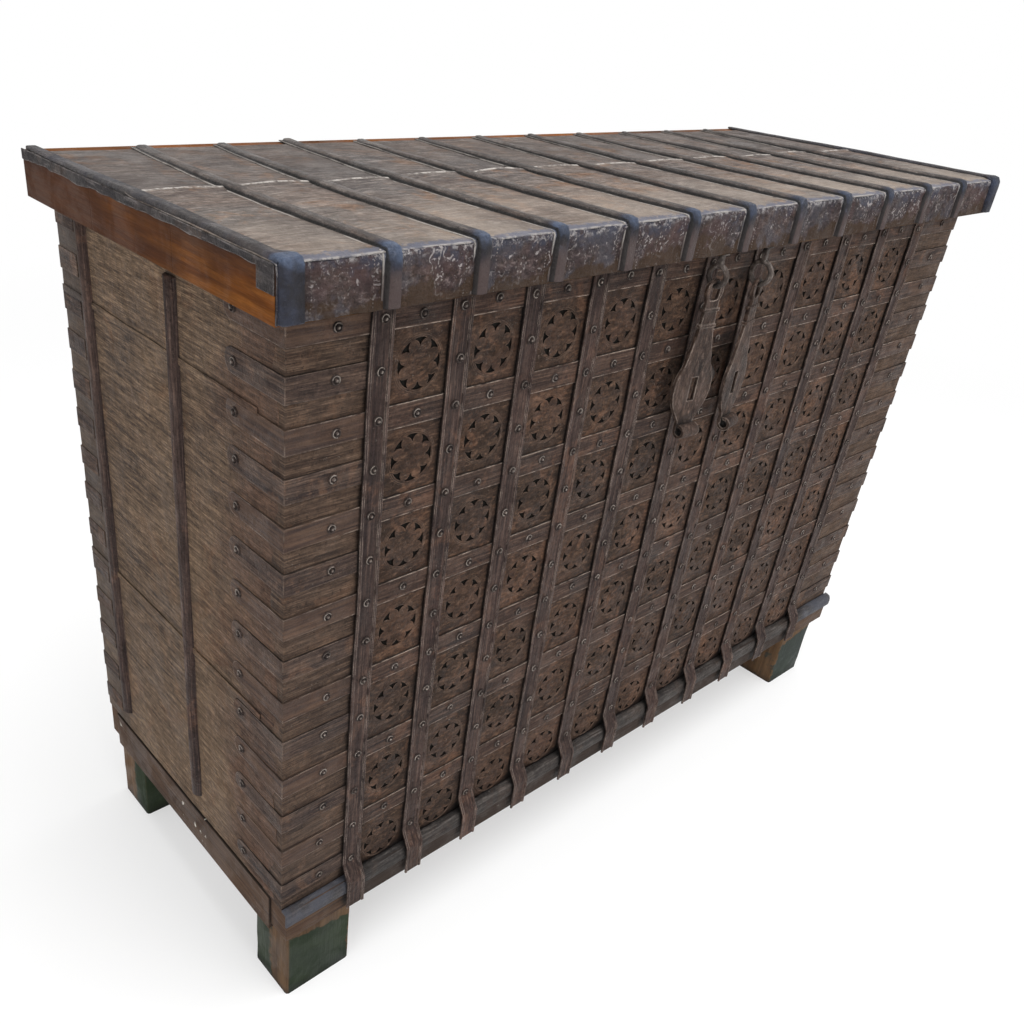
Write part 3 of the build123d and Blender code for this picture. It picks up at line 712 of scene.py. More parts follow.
rosette_iron = worn_iron(
    "rosette_iron", dark=(0.032, 0.0162, 0.011), warm=(0.078, 0.0342, 0.0175),
    cool=(0.042, 0.0285, 0.0193), pale=(0.17, 0.098, 0.062), rust=(0.21, 0.105, 0.06),
    stretch=(30, 30, 90), streak=0.36, specks=0.5, edge_tint=(0.26, 0.175, 0.13), edge_share=0.6,
)
plate_reach = 0.048
for i, z in enumerate(row_zs):
    tiles = [
        copied(
            tile,
            f"tile_{i}_{j}",
            (x, plate_face + sheet_thick, z),
            Matrix.Rotation(math.radians(1.3 * math.sin(5 * i + 3 * j)), 4, "Y"),
        )
        for j, x in enumerate(column_xs)
    ]
    row = joined(f"rosette_row_{i + 1}", tiles)
    if z - plate_reach < rail_top:
        # the lowest row is cut off level with the top of the rail
        edit_all(row)
        bpy.ops.mesh.bisect(
            plane_co=(0, 0, rail_top), plane_no=(0, 0, 1), clear_inner=True, use_fill=True
        )
        rest()
    place_on(row, "chest", "rosette_iron", rosette_iron, f"rosette_sheet_row_{i + 1}")
bpy.data.objects.remove(tile)

# ------------------------------------------------------------------------------
# Corner and side sheets: broad iron sheets over the front corners and the ends
# of the case, lapped like roofing, the upper sheet's lip over the lower one.

side_iron = worn_iron(
    "side_iron", dark=(0.0544, 0.0317, 0.0202), warm=(0.1633, 0.098, 0.0488),
    cool=(0.09, 0.065, 0.05), pale=(0.319, 0.216, 0.1365), rust=(0.17, 0.085, 0.042),
    stretch=(34, 14, 230), patch=4.2, streak=0.65, shade_and_dirt=0.7, rough=(0.6, 0.85),
)
# the strips behind the rear rib and round the front corner have stayed dark
surface, plain, place, x, reach, z = paint_over(side_iron)
cloud = noise(place, 14.0, 5.0, 0.65)
behind_rib = spread(reach, 0.168, 0.18) * spread(cloud, 0.3, 0.65, 0.35, 0.85)
wander = reach + (cloud - 0.5) * 0.2
near_corner = either(spread(wander, -0.06, -0.17), spread(reach, -0.13, -0.174))
tint = coated(
    plain, (behind_rib, (0.05, 0.04, 0.036)), (near_corner, (0.66, 0.57, 0.6), "MULTIPLY")
)
feed(surface["Base Color"], tint)
corner_iron = worn_iron(
    "corner_iron", dark=(0.04, 0.023, 0.017), warm=(0.09, 0.048, 0.026),
    cool=(0.052, 0.036, 0.029), pale=(0.2, 0.13, 0.088), rust=(0.17, 0.09, 0.052),
    stretch=(9, 9, 210), patch=6.0, streak=0.6, edge_tint=(0.27, 0.2, 0.16), edge_share=0.4,
    shade_and_dirt=0.7, rough=(0.6, 0.85),
)
for side in ("left", "right"):
    wrap = merged_copy(f"corner_sheet_{side}", f"corner_sheet_{side}_beaten")
    slice_at(wrap, 2, [0.185 + 0.035 * i for i in range(20)])
    roughen(wrap, 0.0008, 0.04)
    soften(wrap, 0.0009, 2, 50)
    smooth(wrap)
    place_on(wrap, "chest", "side_iron", corner_iron, f"corner_sheet_{side}")

    # three sheets lapped downwards: each upper one ends in a thicker, slightly wavy lip
    low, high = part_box(f"side_sheets_{side}")
    outer, out = (low.x, -1) if side == "left" else (high.x, 1)
    seams = [low.z, body_top - 0.4537, body_top - 0.1037, high.z]
    lapped = []
    for i, (foot, head) in enumerate(zip(seams, seams[1:])):
        face, back = outer + out * 0.0007, outer - out * sheet_thick
        sheet = block(
            f"sheet_{side}_{i}",
            (min(face, back), low.y - 0.028, foot),
            (max(face, back), high.y, head + 0.004),
        )
        divide(sheet, 1, 0.028)
        divide(sheet, 2, 0.014)
        roughen(sheet, 0.0016, 0.11, "X")
        for point in sheet.data.vertices:
            if point.co.y < low.y - 0.02:
                # its front edge was cut by eye and lies close on the corner sheet
                point.co.y += 0.004 * math.sin(61 * point.co.z) + 0.002 * math.sin(203 * point.co.z)
                point.co.x -= 0.0005 * out * (abs(point.co.x) > abs(outer))
        if i:
            lip_face = face + out * 0.0016
            lip = block(
                f"lip_{side}_{i}",
                (min(face, lip_face), low.y, foot - 0.001),
                (max(face, lip_face), high.y, foot + 0.007),
            )
            divide(lip, 1, 0.02)
            roughen(lip, 0.004, 0.07, "Z")
            soften(lip, 0.0006)
            lapped.append(lip)
        lapped.append(sheet)
    sheets = joined(f"side_sheets_{side}_lapped", lapped)
    smooth(sheets, 30)
    place_on(sheets, "chest", "side_iron", side_iron, f"side_sheets_{side}")

# ------------------------------------------------------------------------------
# Cross straps and corner straps: flat iron straps over the joints of the plates
# and, between them, short ones at the corners.  Both are bent round the front
# corners, and their rounded ends are nailed to the sides.

strap_thick = 0.0016
strap_high = 0.025
tongue_round = 0.0118
strap_face = plate_face - strap_thick
side_face, tongue_end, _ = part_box("cross_straps")[1]


def middle_of(piece, edge):
    one, other = ends_of(piece, edge)
    return (one + other) / 2


def face_out(piece, way):
    looks = [face.normal.dot(Vector(way)) for face in piece.data.polygons]
    if max(looks, key=abs) < 0:
        edit_all(piece)
        bpy.ops.mesh.flip_normals()
        rest()


def strap(name, path, z, ends):
    piece = wire(name, [(x, y, z - strap_high / 2) for x, y in path])
    pull(piece, (0, 0, strap_high))
    face_out(piece, (0, -1, 0))
    shape_with(piece, "SOLIDIFY", thickness=strap_thick, offset=1, use_even_offset=True)
    for side in ends:
        round_off(
            piece,
            lambda e: along(piece, e, 0)
            and middle_of(piece, e).y > tongue_end - 0.001
            and middle_of(piece, e).x * side > 0,
            tongue_round,
            5,
        )
    return piece


strap_iron = worn_iron(
    "strap_iron", dark=(0.0301, 0.0167, 0.0138), warm=(0.0679, 0.0316, 0.0193),
    cool=(0.0407, 0.0279, 0.0258), pale=(0.18, 0.112, 0.08), rust=(0.18, 0.09, 0.055),
    stretch=(7, 7, 220), streak=0.48, edge_width=0.0026, edge_tint=(0.5, 0.4, 0.33),
    edge_share=1.0,
)
# beyond the outermost bands they are browned over like the corner sheets
surface, bright_edged, place, x, y, z = paint_over(strap_iron)
beyond = spread(abs(x), 0.52, 0.56) * spread(noise(place, 26.0, 5.0), 0.3, 0.6, 0.35, 0.8)
drawn = use(streaks, place, Stretch=(9, 9, 210))
browned = blended(drawn["Streak"], (0.036, 0.023, 0.02), (0.11, 0.065, 0.042))
feed(surface["Base Color"], blended(beyond, bright_edged, browned))
inner_x = side_face - strap_thick
front_run = [(x, plate_face) for x in [-inner_x] + band_xs + [inner_x]]
crossing = [
    strap(f"cross_{i}", [(-inner_x, tongue_end)] + front_run + [(inner_x, tongue_end)], z, (-1, 1))
    for i, z in enumerate(cross_zs)
]
straps = joined("cross_straps_bent", crossing)
roughen(straps, 0.002, 0.09, "Z")
place_on(straps, "chest", "strap_iron", strap_iron, "cross_straps")
corner_strap_iron = worn_iron(
    "corner_strap_iron", dark=(0.0272, 0.017, 0.0162), warm=(0.0663, 0.0344, 0.0221),
    cool=(0.0378, 0.0297, 0.0323), pale=(0.19, 0.125, 0.09), rust=(0.18, 0.095, 0.055),
    stretch=(9, 9, 210), patch=6.5, streak=0.55, edge_width=0.0024, edge_tint=(0.27, 0.2, 0.16),
    edge_share=0.6,
)
for side, label, end_x in ((-1, "left", band_xs[0]), (1, "right", band_xs[-1])):
    run = [(end_x, plate_face), (side * inner_x, plate_face), (side * inner_x, tongue_end)]
    short = [strap(f"short_{label}_{i}", run, z, (side,)) for i, z in enumerate(row_zs)]
    piece = joined(f"corner_straps_{label}_bent", short)
    roughen(piece, 0.002, 0.09, "Z")
    place_on(piece, "chest", "strap_iron", corner_strap_iron, f"corner_straps_{label}")

# ------------------------------------------------------------------------------
# Bands: upright iron bands over the plate joints, each with a bead rolled along
# both edges, kicked out at the foot over the base moulding.

bands = merged_copy("vertical_bands", "bands")
slice_at(bands, 2, [0.2 + 0.045 * i for i in range(16)])
roughen(bands, 0.0035, 0.11, "X")
roughen(bands, 0.0012, 0.05, "Y")
soften(bands, 0.0005, 1)
smooth(bands)
band_iron = worn_iron(
    "band_iron", dark=(0.0262, 0.0144, 0.0129), warm=(0.0553, 0.026, 0.0193),
    cool=(0.0388, 0.0279, 0.0285), pale=(0.155, 0.1, 0.078), rust=(0.16, 0.08, 0.05),
    stretch=(190, 60, 5), patch=5.0, edge_tint=(0.42, 0.33, 0.28), edge_share=0.95,
)
place_on(bands, "chest", "strap_iron", band_iron, "vertical_bands")

# ------------------------------------------------------------------------------
# Side ribs and rear straps: two half-round iron ribs nailed up each end of the
# case, and short straps bent round the back corners to hold them.

rib_low, rib_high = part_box("side_ribs_left")
rib_half, front_rib_top = 0.0125, 0.874
for side in ("left", "right"):
    rib = merged_copy(f"side_ribs_{side}", f"side_ribs_{side}_beaten")
    for point in rib.data.vertices:
        # the ribs are slimmer than their bars, and the front one stops short of the lid
        front_one = point.co.y < 0.08
        middle = rib_low.y + rib_half if front_one else rib_high.y - rib_half
        point.co.y = middle + 0.8 * (point.co.y - middle)
        if front_one and point.co.z > 0.8:
            point.co.z = front_rib_top
    slice_at(rib, 2, [0.23 + 0.04 * i for i in range(16)])
    roughen(rib, 0.004, 0.14, "Y")
    roughen(rib, 0.0015, 0.05, "X")
    smooth(rib, 50)
    place_on(rib, "chest", "side_iron", band_iron, f"side_ribs_{side}")
    rear = merged_copy(f"rear_straps_{side}", f"rear_straps_{side}_beaten")
    roughen(rear, 0.003, 0.05, "Z")
    soften(rear, 0.0006, 1)
    smooth(rear)
    place_on(rear, "chest", "side_iron", corner_strap_iron, f"rear_straps_{side}")

# ------------------------------------------------------------------------------
# Nails: round-headed iron nails driven through a dished washer at every band
# and strap crossing and into the straps' rounded ends.  The top of each head and
# the upper side of the washers' rims carry a painted highlight.

nail = lathe(
    "nail",
    [
        (0.0, 0.0034), (0.0013, 0.0032), (0.0021, 0.0018), (0.0026, 0.0006), (0.0032, 0.0010),
        (0.0039, 0.0021), (0.0046, 0.0017), (0.0052, 0.0), (0.0, 0.0),
    ],
    14,
)
smooth(nail, 60)
nail_iron = worn_iron(
    "nail_iron", dark=(0.035, 0.024, 0.022), warm=(0.07, 0.045, 0.036), cool=(0.055, 0.045, 0.045),
    pale=(0.2, 0.15, 0.13), rust=(0.14, 0.08, 0.055), stretch=(60, 60, 60), patch=16.0,
    edge_share=0.3, shade_and_dirt=0.8,
)
# a paler, glossier iron for the painted highlight on the nail heads
nail_highlight_iron = worn_iron(
    "nail_highlight_iron", dark=(0.09, 0.068, 0.058), warm=(0.46, 0.39, 0.33), cool=(0.17, 0.145, 0.135),
    pale=(0.6, 0.53, 0.47), rust=(0.16, 0.1, 0.07), stretch=(60, 60, 60), patch=22.0,
    edge_share=0.6, shade_and_dirt=0.6, rough=(0.35, 0.6), metal=0.5,
)
nail.data.materials.append(nail_iron)
nail.data.materials.append(nail_highlight_iron)
for face in nail.data.polygons:
    radius = math.hypot(face.center.x, face.center.z)
    # painted highlight: the top of the head and the upper, outer side of the washer's rim
    around = math.atan2(face.center.z, face.center.x) - 2.2
    highlighted = radius < 0.0014 or (0.0031 < radius < 0.0046 and math.cos(around) > -0.35)
    face.material_index = 1 if highlighted and face.normal.y < 0 else 0

band_face = strap_face - strap_thick
from_corner, from_tongue_end = 0.053, 0.016
heads = []
for z in row_zs + cross_zs:
    if z > 0.2:
        heads += [(x, band_face, z) for x in band_xs]
heads += [(x, strap_face, z) for z in cross_zs for x in column_xs]
corner_x = side_face - from_corner
heads += [(side * corner_x, strap_face, z) for z in row_zs + cross_zs for side in (-1, 1)]
driven = [
    copied(
        nail,
        f"nail_{i}",
        (x + 0.0015 * math.sin(i), y, z + 0.0015 * math.cos(3 * i)),
        Matrix.Rotation(1.1 * math.sin(7.3 * i), 4, "Y"),
    )
    for i, (x, y, z) in enumerate(heads)
]
place_on(joined("front_nails", driven), "chest", "strap_iron", None)
for side, label in ((-1, "left"), (1, "right")):
    turn = Matrix.Rotation(math.radians(side * 90), 4, "Z")
    found = [
        copied(nail, f"nail_{label}_{i}", (side * side_face, tongue_end - from_tongue_end, z), turn)
        for i, z in enumerate(row_zs + cross_zs)
    ]
    place_on(joined(f"side_nails_{label}", found), "chest", "side_iron", None)
bpy.data.objects.remove(nail)

# ------------------------------------------------------------------------------
# Staple and hinges: a forged staple between the hasps takes the padlock, and two
# long strap hinges carry the lid at the back.

hinge_iron = worn_iron(
    "hinge_iron", dark=(0.03, 0.023, 0.022), warm=(0.06, 0.04, 0.033), cool=(0.045, 0.04, 0.042),
    pale=(0.15, 0.12, 0.11), rust=(0.12, 0.065, 0.042), stretch=(40, 40, 40), patch=12.0,
)
keep(hinge_iron, "hinge_straps", "hinge_pins", "hinge_leaves")
low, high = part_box("hasp_staple")
staple_x, staple_z = (low.x + high.x) / 2, (low.z + high.z) / 2
back_plate = block("back_plate", (low.x, plate_face - 0.002, low.z), (high.x, plate_face, high.z))
round_off(back_plate, lambda e: along(back_plate, e, 1), 0.0065, 3)
soften(back_plate, 0.0006)


def ring_of(name, place, radius, thick, segments, round_segments):
    rest()
    bpy.ops.mesh.primitive_torus_add(
        location=place, rotation=(0, math.pi / 2, 0), major_radius=radius, minor_radius=thick,
        major_segments=segments, minor_segments=round_segments,
    )
    return settle(name)


loop_r, loop_wire = 0.0098, 0.003
loop = ring_of("loop", (staple_x, plate_face - 0.0045, staple_z), loop_r, loop_wire, 28, 10)
open_up(loop, "VERT", lambda v: v.co.z > staple_z)
bpy.ops.transform.translate(value=(0, 0, 0.0002))
rest()
staple = joined("staple_forged", [back_plate, loop])
smooth(staple, 40)
place_on(staple, "chest", "hasp_iron", hinge_iron, "hasp_staple")

# ------------------------------------------------------------------------------
# Lid boards: three thick planks nailed to battens.  Their ends show as bare
# orange-brown wood, and a strip of them stays bare behind the iron.

lid_wood = aged_wood(
    "lid_wood", deep=(0.0467, 0.0156, 0.0049), warm=(0.153, 0.0445, 0.0063),
    pale=(0.2465, 0.0897, 0.0175), stretch=(2.0, 7, 90),
)
# the ends have darkened towards the back and under the iron's edge
surface, plain, place, x, y, z = paint_over(lid_wood)
cloud = (noise(place, 11.0, 5.0, 0.6) - 0.5) * 0.35
at_end = spread(abs(x), 0.63, 0.648)
aged = spread(y + cloud, -0.17, 0.06, 0.0, 0.8)
under_edge = spread(z + cloud * 0.12, 0.912, 0.934, 0.0, 0.7)
shade = either(aged, under_edge) * at_end
# away from the light of the ends and the rear edge the boards have stayed a duller brown
inside = 1.0 - either(at_end, spread(y, 0.2, 0.224))
tint = coated(
    plain, (shade, (0.032, 0.014, 0.009)), (inside * 0.85, (0.52, 0.82, 1.6), "MULTIPLY")
)
feed(surface["Base Color"], tint)
feed(surface["Specular IOR Level"], 0.08)
keep(lid_wood, "lid_boards", "lid_battens")

# ------------------------------------------------------------------------------
# Lid sheets: two rows of thin iron sheets between the ribs, the front row lapped
# over the back row, each a little swollen and creased.

lid_iron = worn_iron(
    "lid_iron", dark=(0.0755, 0.0616, 0.0578), warm=(0.1677, 0.1057, 0.0719),
    cool=(0.1179, 0.1067, 0.1083), pale=(0.3019, 0.2619, 0.2312), rust=(0.21, 0.108, 0.0551),
    stretch=(11, 70, 70), patch=6.0, streak=0.45, rust_share=0.85, edge_tint=(0.42, 0.37, 0.34),
    edge_share=0.85, metal=0.2,
)
# hands and sun have bleached the front row, and the back row has stayed dark
surface, even, place, x, reach, z = paint_over(lid_iron)
cloud = noise(place, 9.0, 5.0, 0.6)
bleached = spread(reach, -0.04, -0.2, 0.0, 0.5) * spread(cloud, 0.35, 0.65, 0.3, 1.0)
shaded = spread(reach, -0.006, 0.012, 0.0, 0.62) * spread(cloud, 0.65, 0.35, 0.4, 1.0)
fringe = reach + (noise(place, 90.0, 5.0, 0.75) - 0.5) * 0.05
# the rims of the sheets are light: the front edge rubbed bright, and a painted highlight along the
# lip over the back row
rim = result(place, "Attribute", key="Fac", attribute_name="rim")
rim_breaks = spread(noise(place, 75.0, 5.0, 0.75), 0.42, 0.56, 0.1, 1.0)
tint = coated(
    even,
    (bleached, (0.3, 0.25, 0.205)),
    (shaded, (0.06, 0.05, 0.046)),
    (spread(fringe, -0.234, -0.242, 0.0, 0.85), (0.085, 0.09, 0.12)),
    (spread(rim, 0.3, 0.75, 0.0, 0.9) * rim_breaks, (0.4, 0.37, 0.34)),
)
feed(surface["Base Color"], tint)

rib_xs = stepped(-0.6375, 0.6375, 12, 0.00145)
rib_wide = 0.025
beside_rib = 0.005
wood_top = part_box("lid_boards")[1].z
lid_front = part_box("lid_fascia")[0].y
seam_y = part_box("lid_sheet_front")[1].y
back_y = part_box("lid_sheet_back")[1].y
lifted_bay = 4


def sway(piece):
    # the rib lines have crept sideways over the years, most of all at the back
    for point in piece.data.vertices:
        depth = max(0, (point.co.y - lid_front) / (back_y - lid_front))
        loose = min(1, max(0, (0.63 - abs(point.co.x)) / 0.09))
        point.co.x += loose * (0.046 * depth - 0.032) * depth


front_sheets, back_sheets = [], []
for i, (one, other) in enumerate(zip(rib_xs, rib_xs[1:])):
    left = one + beside_rib if i else one - rib_wide / 2
    wide = (other - beside_rib if i < 11 else other + rib_wide / 2) - left
    jog = 0.004 * math.sin(2.7 * i)
    for rows, start, end in (
        (front_sheets, lid_front - 0.0002, seam_y + jog + 0.003),
        (back_sheets, seam_y + jog - 0.006, back_y - 0.006),
    ):
        top = wood_top + (0.0022 if rows is front_sheets else 0.0012)
        sheet = block(f"lid_sheet_{i}", (left, start, top - sheet_thick), (left + wide, end, top))
        divide(sheet, 0, 0.011)
        divide(sheet, 1, 0.007)
        rims = sheet.data.attributes.new("rim", "FLOAT", "POINT")
        for mark, point in zip(rims.data, sheet.data.vertices):
            across = 2 * (point.co.x - left) / wide - 1
            crown = 1 - across * across
            to_start, to_end = point.co.y - start, end - point.co.y
            if rows is front_sheets:
                # the front edge is hammered down, and the lip over the back row stands up
                lip, hammered = max(0, 1 - to_end / 0.014), max(0, 1 - to_start / 0.004)
                # rim marks: the rubbed front edge, and the lip's painted highlight
                mark.value = max(0, 0.62 - to_start / 0.008, 1 - to_end / 0.007)
                point.co.z += 0.0016 * crown * min(1, 0.2 + to_start / 0.05)
                point.co.z += 0.0019 * lip ** 2 - 0.0012 * hammered
                if i == lifted_bay:
                    point.co.z += 0.0022 * max(0, 1 - to_end / 0.05) * crown
            else:
                point.co.z += 0.0016 * crown * min(1, to_end / 0.09)
        roughen(sheet, 0.0016, 0.04, "Z")
        roughen(sheet, 0.0022, 0.03, "Y")
        sway(sheet)
        rows.append(sheet)
for label, rows in (("front", front_sheets), ("back", back_sheets)):
    sheets = joined(f"lid_sheets_{label}", rows)
    smooth(sheets, 40)
    place_on(sheets, "lid", "lid_iron", lid_iron, f"lid_sheet_{label}")

# ------------------------------------------------------------------------------
# Fascia: panels of sheet iron nailed down the front edge of the lid between the
# ribs, stamped with small dots and circles and badly dented.

fascia_iron = worn_iron(
    "fascia_iron", dark=(0.0381, 0.0238, 0.0244), warm=(0.112, 0.0594, 0.0424),
    cool=(0.0762, 0.0572, 0.0678), pale=(0.24, 0.19, 0.18), rust=(0.09, 0.05, 0.028),
    stretch=(35, 35, 60), patch=11.0, streak=0.35, specks=0.9, edge_tint=(0.34, 0.3, 0.29),
    depth=0.003, push=1.0,
)
# stamping: columns of small dots near a panel's ends and a ring of them at its middle
stamping, (panel,), given = effect("stamping", ("Stamped",))
across, up, _ = split(panel)
column = (abs(across - 0.5) - 0.42) * 0.09
rung = (calc("FRACT", up * 15.0) - 0.5) * 0.003
side_on = (across - 0.5) * 0.09
level = (up - 0.5) * 0.046


def distance(one, other):
    return calc("SQRT", one * one + other * other)


beat = calc("COSINE", calc("ARCTAN2", level, side_on) * 9.0)
ring_off = abs(distance(side_on, level) - 0.0075)
ring_dot = spread(ring_off, 0.0014, 0.0005) * spread(beat, -0.1, 0.6)
column_dot = spread(distance(column, rung), 0.001, 0.0005)
eye_dot = spread(distance(side_on, level), 0.0018, 0.001)
feed(given["Stamped"], either(either(column_dot, ring_dot), eye_dot))

surface, even, place, x, y, z = paint_over(fascia_iron)
panel = result(place, "Attribute", key="Vector", attribute_name="panel")
up_panel = split(panel)[1]
patchy = spread(noise(place, 34.0), 0.35, 0.62)
broken = spread(spread(noise(place, 90.0, 4.0, 0.65), 0.4, 0.6), 0.0, 1.0, 0.3, 1.0)
clouds = noise(place, 13.0, 5.0, 0.65)
edge_up = up_panel + patchy * 0.35
lowest = edge_up + (clouds - 0.5) * 1.6
fringe = spread(noise(place, 140.0, 5.0, 0.75), 0.48, 0.58)
rubbed = spread(up_panel + clouds * 0.3, 1.0, 1.14, 0.0, 0.8) * fringe
glint = spread(noise(place, 110.0, 3.0, 0.6, 1.6), 0.59, 0.64)
glint = glint * spread(up_panel, 0.15, 0.5, 0.15, 0.75)
stamped = use(stamping, panel)["Stamped"]
tint = coated(
    even,
    (spread(clouds, 0.52, 0.42, 0.0, 0.6), (0.085, 0.048, 0.046)),
    (spread(clouds, 0.52, 0.62, 0.0, 0.6), (0.072, 0.07, 0.085)),
    (spread(lowest, 0.62, 0.4, 0.0, 0.9), (0.052, 0.029, 0.016)),
    (spread(edge_up, 0.85, 1.2, 0.0, 0.8) * broken, (0.05, 0.054, 0.08)),
    (rubbed, (0.36, 0.34, 0.34)),
    (glint * patchy, (0.46, 0.42, 0.41)),
    (stamped * patchy * broken, (0.36, 0.31, 0.29)),
)
feed(surface["Base Color"], tint)
relief = surface["Normal"].links[0].from_node.inputs
feed(relief["Height"], Value(relief["Height"].links[0].from_socket) + stamped)

panels = []
panel_gap = 0.004
lid_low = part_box("lid_fascia")[0].z
face = lid_front - 0.0013
for i, (one, other) in enumerate(zip(rib_xs, rib_xs[1:])):
    left = one + panel_gap if i else one - rib_wide / 2
    right_end = other - panel_gap if i < 11 else other + rib_wide / 2
    hem = lid_low + 0.0014 + 0.0012 * math.sin(3.1 * i)
    side_view = [
        (lid_front + 0.0115, wood_top + 0.0012), (lid_front + 0.004, wood_top + 0.0013),
        (lid_front + 0.0006, wood_top + 0.0008), (face + 0.0002, wood_top - 0.0008),
    ]
    side_view += [(face, wood_top - down) for down in (0.004, 0.011, 0.018, 0.025, 0.032, 0.039)]
    side_view.append((face, hem))
    panel = wire(f"fascia_{i}", [(left, y, z) for y, z in side_view])
    pull(panel, (right_end - left, 0, 0))
    divide(panel, 0, 0.0045)
    face_out(panel, (0, -1, 0))
    shape_with(panel, "SOLIDIFY", thickness=sheet_thick, offset=-1, use_even_offset=True)
    roughen(panel, 0.0042, 0.024, "Y")
    roughen(panel, 0.0024, 0.009, "Y")
    roughen(panel, 0.0022, 0.03, "Z")
    spots = panel.data.attributes.new("panel", "FLOAT_VECTOR", "POINT")
    for mark, point in zip(spots.data, panel.data.vertices):
        across = (point.co.x - one - rib_wide / 2) / (other - one - rib_wide)
        mark.vector = (across, (point.co.z - lid_low) / (wood_top - lid_low), 0)
    panels.append(panel)
fascia = joined("fascia_panels", panels)
smooth(fascia, 50)
place_on(fascia, "lid", "fascia_iron", fascia_iron, "lid_fascia")

# ------------------------------------------------------------------------------
# Edge strips and corner tabs: a narrow iron strip nailed along each end of the
# lid, torn along its lower edge, and a tab folded round each front corner.

strip_iron = worn_iron(
    "strip_iron", dark=(0.022, 0.018, 0.019), warm=(0.045, 0.032, 0.028),
    cool=(0.038, 0.036, 0.043), pale=(0.17, 0.15, 0.145), rust=(0.08, 0.045, 0.028),
    stretch=(60, 8, 60), patch=11.0, streak=0.3, edge_tint=(0.3, 0.27, 0.26),
)
strip_deep = 0.0065
for side in ("left", "right"):
    low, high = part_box(f"lid_edge_strip_{side}")
    strip = block(f"lid_edge_strip_{side}_torn", (low.x, low.y, high.z - strip_deep), high)
    divide(strip, 1, 0.006)
    divide(strip, 2, 0.002)
    # its lower edge is torn and drops a little towards the back
    lower = [v.index for v in strip.data.vertices if v.co.z < high.z - 0.005]
    strip.vertex_groups.new(name="hem").add(lower, 1.0, "REPLACE")
    roughen(strip, 0.006, 0.034, "Z", vertex_group="hem")
    for point in strip.data.vertices:
        point.co.z -= 0.006 * (point.co.y - low.y) * (high.z - point.co.z) / strip_deep
    smooth(strip)
    place_on(strip, "lid", "fascia_iron", strip_iron, f"lid_edge_strip_{side}")
    tab = merged_copy(f"lid_corner_tab_{side}", f"lid_corner_tab_{side}_worn")
    soften(tab, 0.0004, 1)
    place_on(tab, "lid", "fascia_iron", strip_iron, f"lid_corner_tab_{side}")

# ------------------------------------------------------------------------------
# Lid ribs: iron strips with a bead beaten up along the middle, nailed over the
# sheet joints and bent down over the fascia.  They are worn to a blue-black
# shine where hands lift the lid, with a painted highlight of lighter blue on
# the bend over the front edge.

rib_iron = worn_iron(
    "rib_iron", dark=(0.052, 0.042, 0.038), warm=(0.09, 0.066, 0.054), cool=(0.07, 0.062, 0.06),
    pale=(0.17, 0.145, 0.13), rust=(0.1, 0.06, 0.042), stretch=(60, 9, 40), streak=0.35,
    edge_tint=(0.34, 0.3, 0.27), edge_share=0.8, rough=(0.45, 0.7),
)
surface, even, place, x, y, z = paint_over(rib_iron)
patchy = (noise(place, 30.0) - 0.5) * 0.03
forward, drop = y + patchy, z + patchy
on_face = spread(forward, -0.225, -0.245)
end_rib = spread(abs(x), 0.61, 0.624)
handled = either(on_face * spread(drop, 0.918, 0.938), end_rib * on_face)
handled = either(handled, end_rib * 0.5)
# painted highlight: a lighter, mottled blue on the bend of each rib over the front edge, fading
# towards the ribs at the right
mottled = spread(noise(place, 26.0, 5.0, 0.7), 0.38, 0.64)
knuckle_highlight = spread(drop, 0.935, 0.943) * spread(forward, -0.234, -0.243)
knuckle_highlight = knuckle_highlight * spread(mottled, 0.0, 1.0, 0.35, 0.9) * spread(x, -0.35, 0.1, 1.0, 0.3)
bright = use(blooms, place, Scale=26.0, Start=0.6)["Bloom"]
edge = use(edge_wear, place, Width=0.0022)
blue = coated(
    blended(mottled, (0.003, 0.003, 0.006), (0.014, 0.019, 0.036)),
    (knuckle_highlight, (0.05, 0.072, 0.12)),
    (bright * 0.45, (0.12, 0.14, 0.19)),
    (edge["Wear"] * 0.5, (0.2, 0.21, 0.25)),
)
# a painted highlight runs along the hem's left rim, like metal rubbed bare, and a black line of
# painted shade lies in the crease beside it
rim = result(place, "Attribute", key="Fac", attribute_name="rim")
rim_highlight = spread(rim, 0.3, 0.8) * spread(noise(place, 45.0, 5.0, 0.7), 0.38, 0.52, 0.25, 1.0)
rim_highlight = rim_highlight * spread(y, 0.2, 0.0, 0.35, 1.0) * spread(z, 0.91, 0.945, 0.15, 0.85)
tint = coated(
    even,
    (on_face, (0.05, 0.033, 0.031)),
    (handled * 0.92, blue),
    (rim_highlight, (0.42, 0.385, 0.35)),
    (spread(rim, -0.2, -0.8, 0.0, 0.85), (0.008, 0.007, 0.007)),
)
feed(surface["Base Color"], tint)
feed(surface["Specular IOR Level"], 0.3)

sheet_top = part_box("lid_sheet_front")[1].z
long_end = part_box("lid_ribs")[1].y
bead_high = 0.0064
hem_wide, hem_thick = 0.0215, 0.0011


def bent_bar(name, x, end, wide, thick):
    run = [(end + (lid_front + 0.004 - end) * k / 30, sheet_top + 0.0002) for k in range(31)]
    turn_down = [(lid_front + 0.0012, sheet_top - 0.0004), (lid_front - 0.0002, sheet_top - 0.0028)]
    fall = [(lid_front - 0.0004, z) for z in (0.934, 0.925, 0.916, 0.907, 0.8965)]
    bar = wire(name, [(x - wide / 2, y, z) for y, z in run + turn_down + fall])
    pull(bar, (wide, 0, 0))
    face_out(bar, (0, 0, 1))
    shape_with(bar, "SOLIDIFY", thickness=thick, offset=1, use_even_offset=True)
    return bar


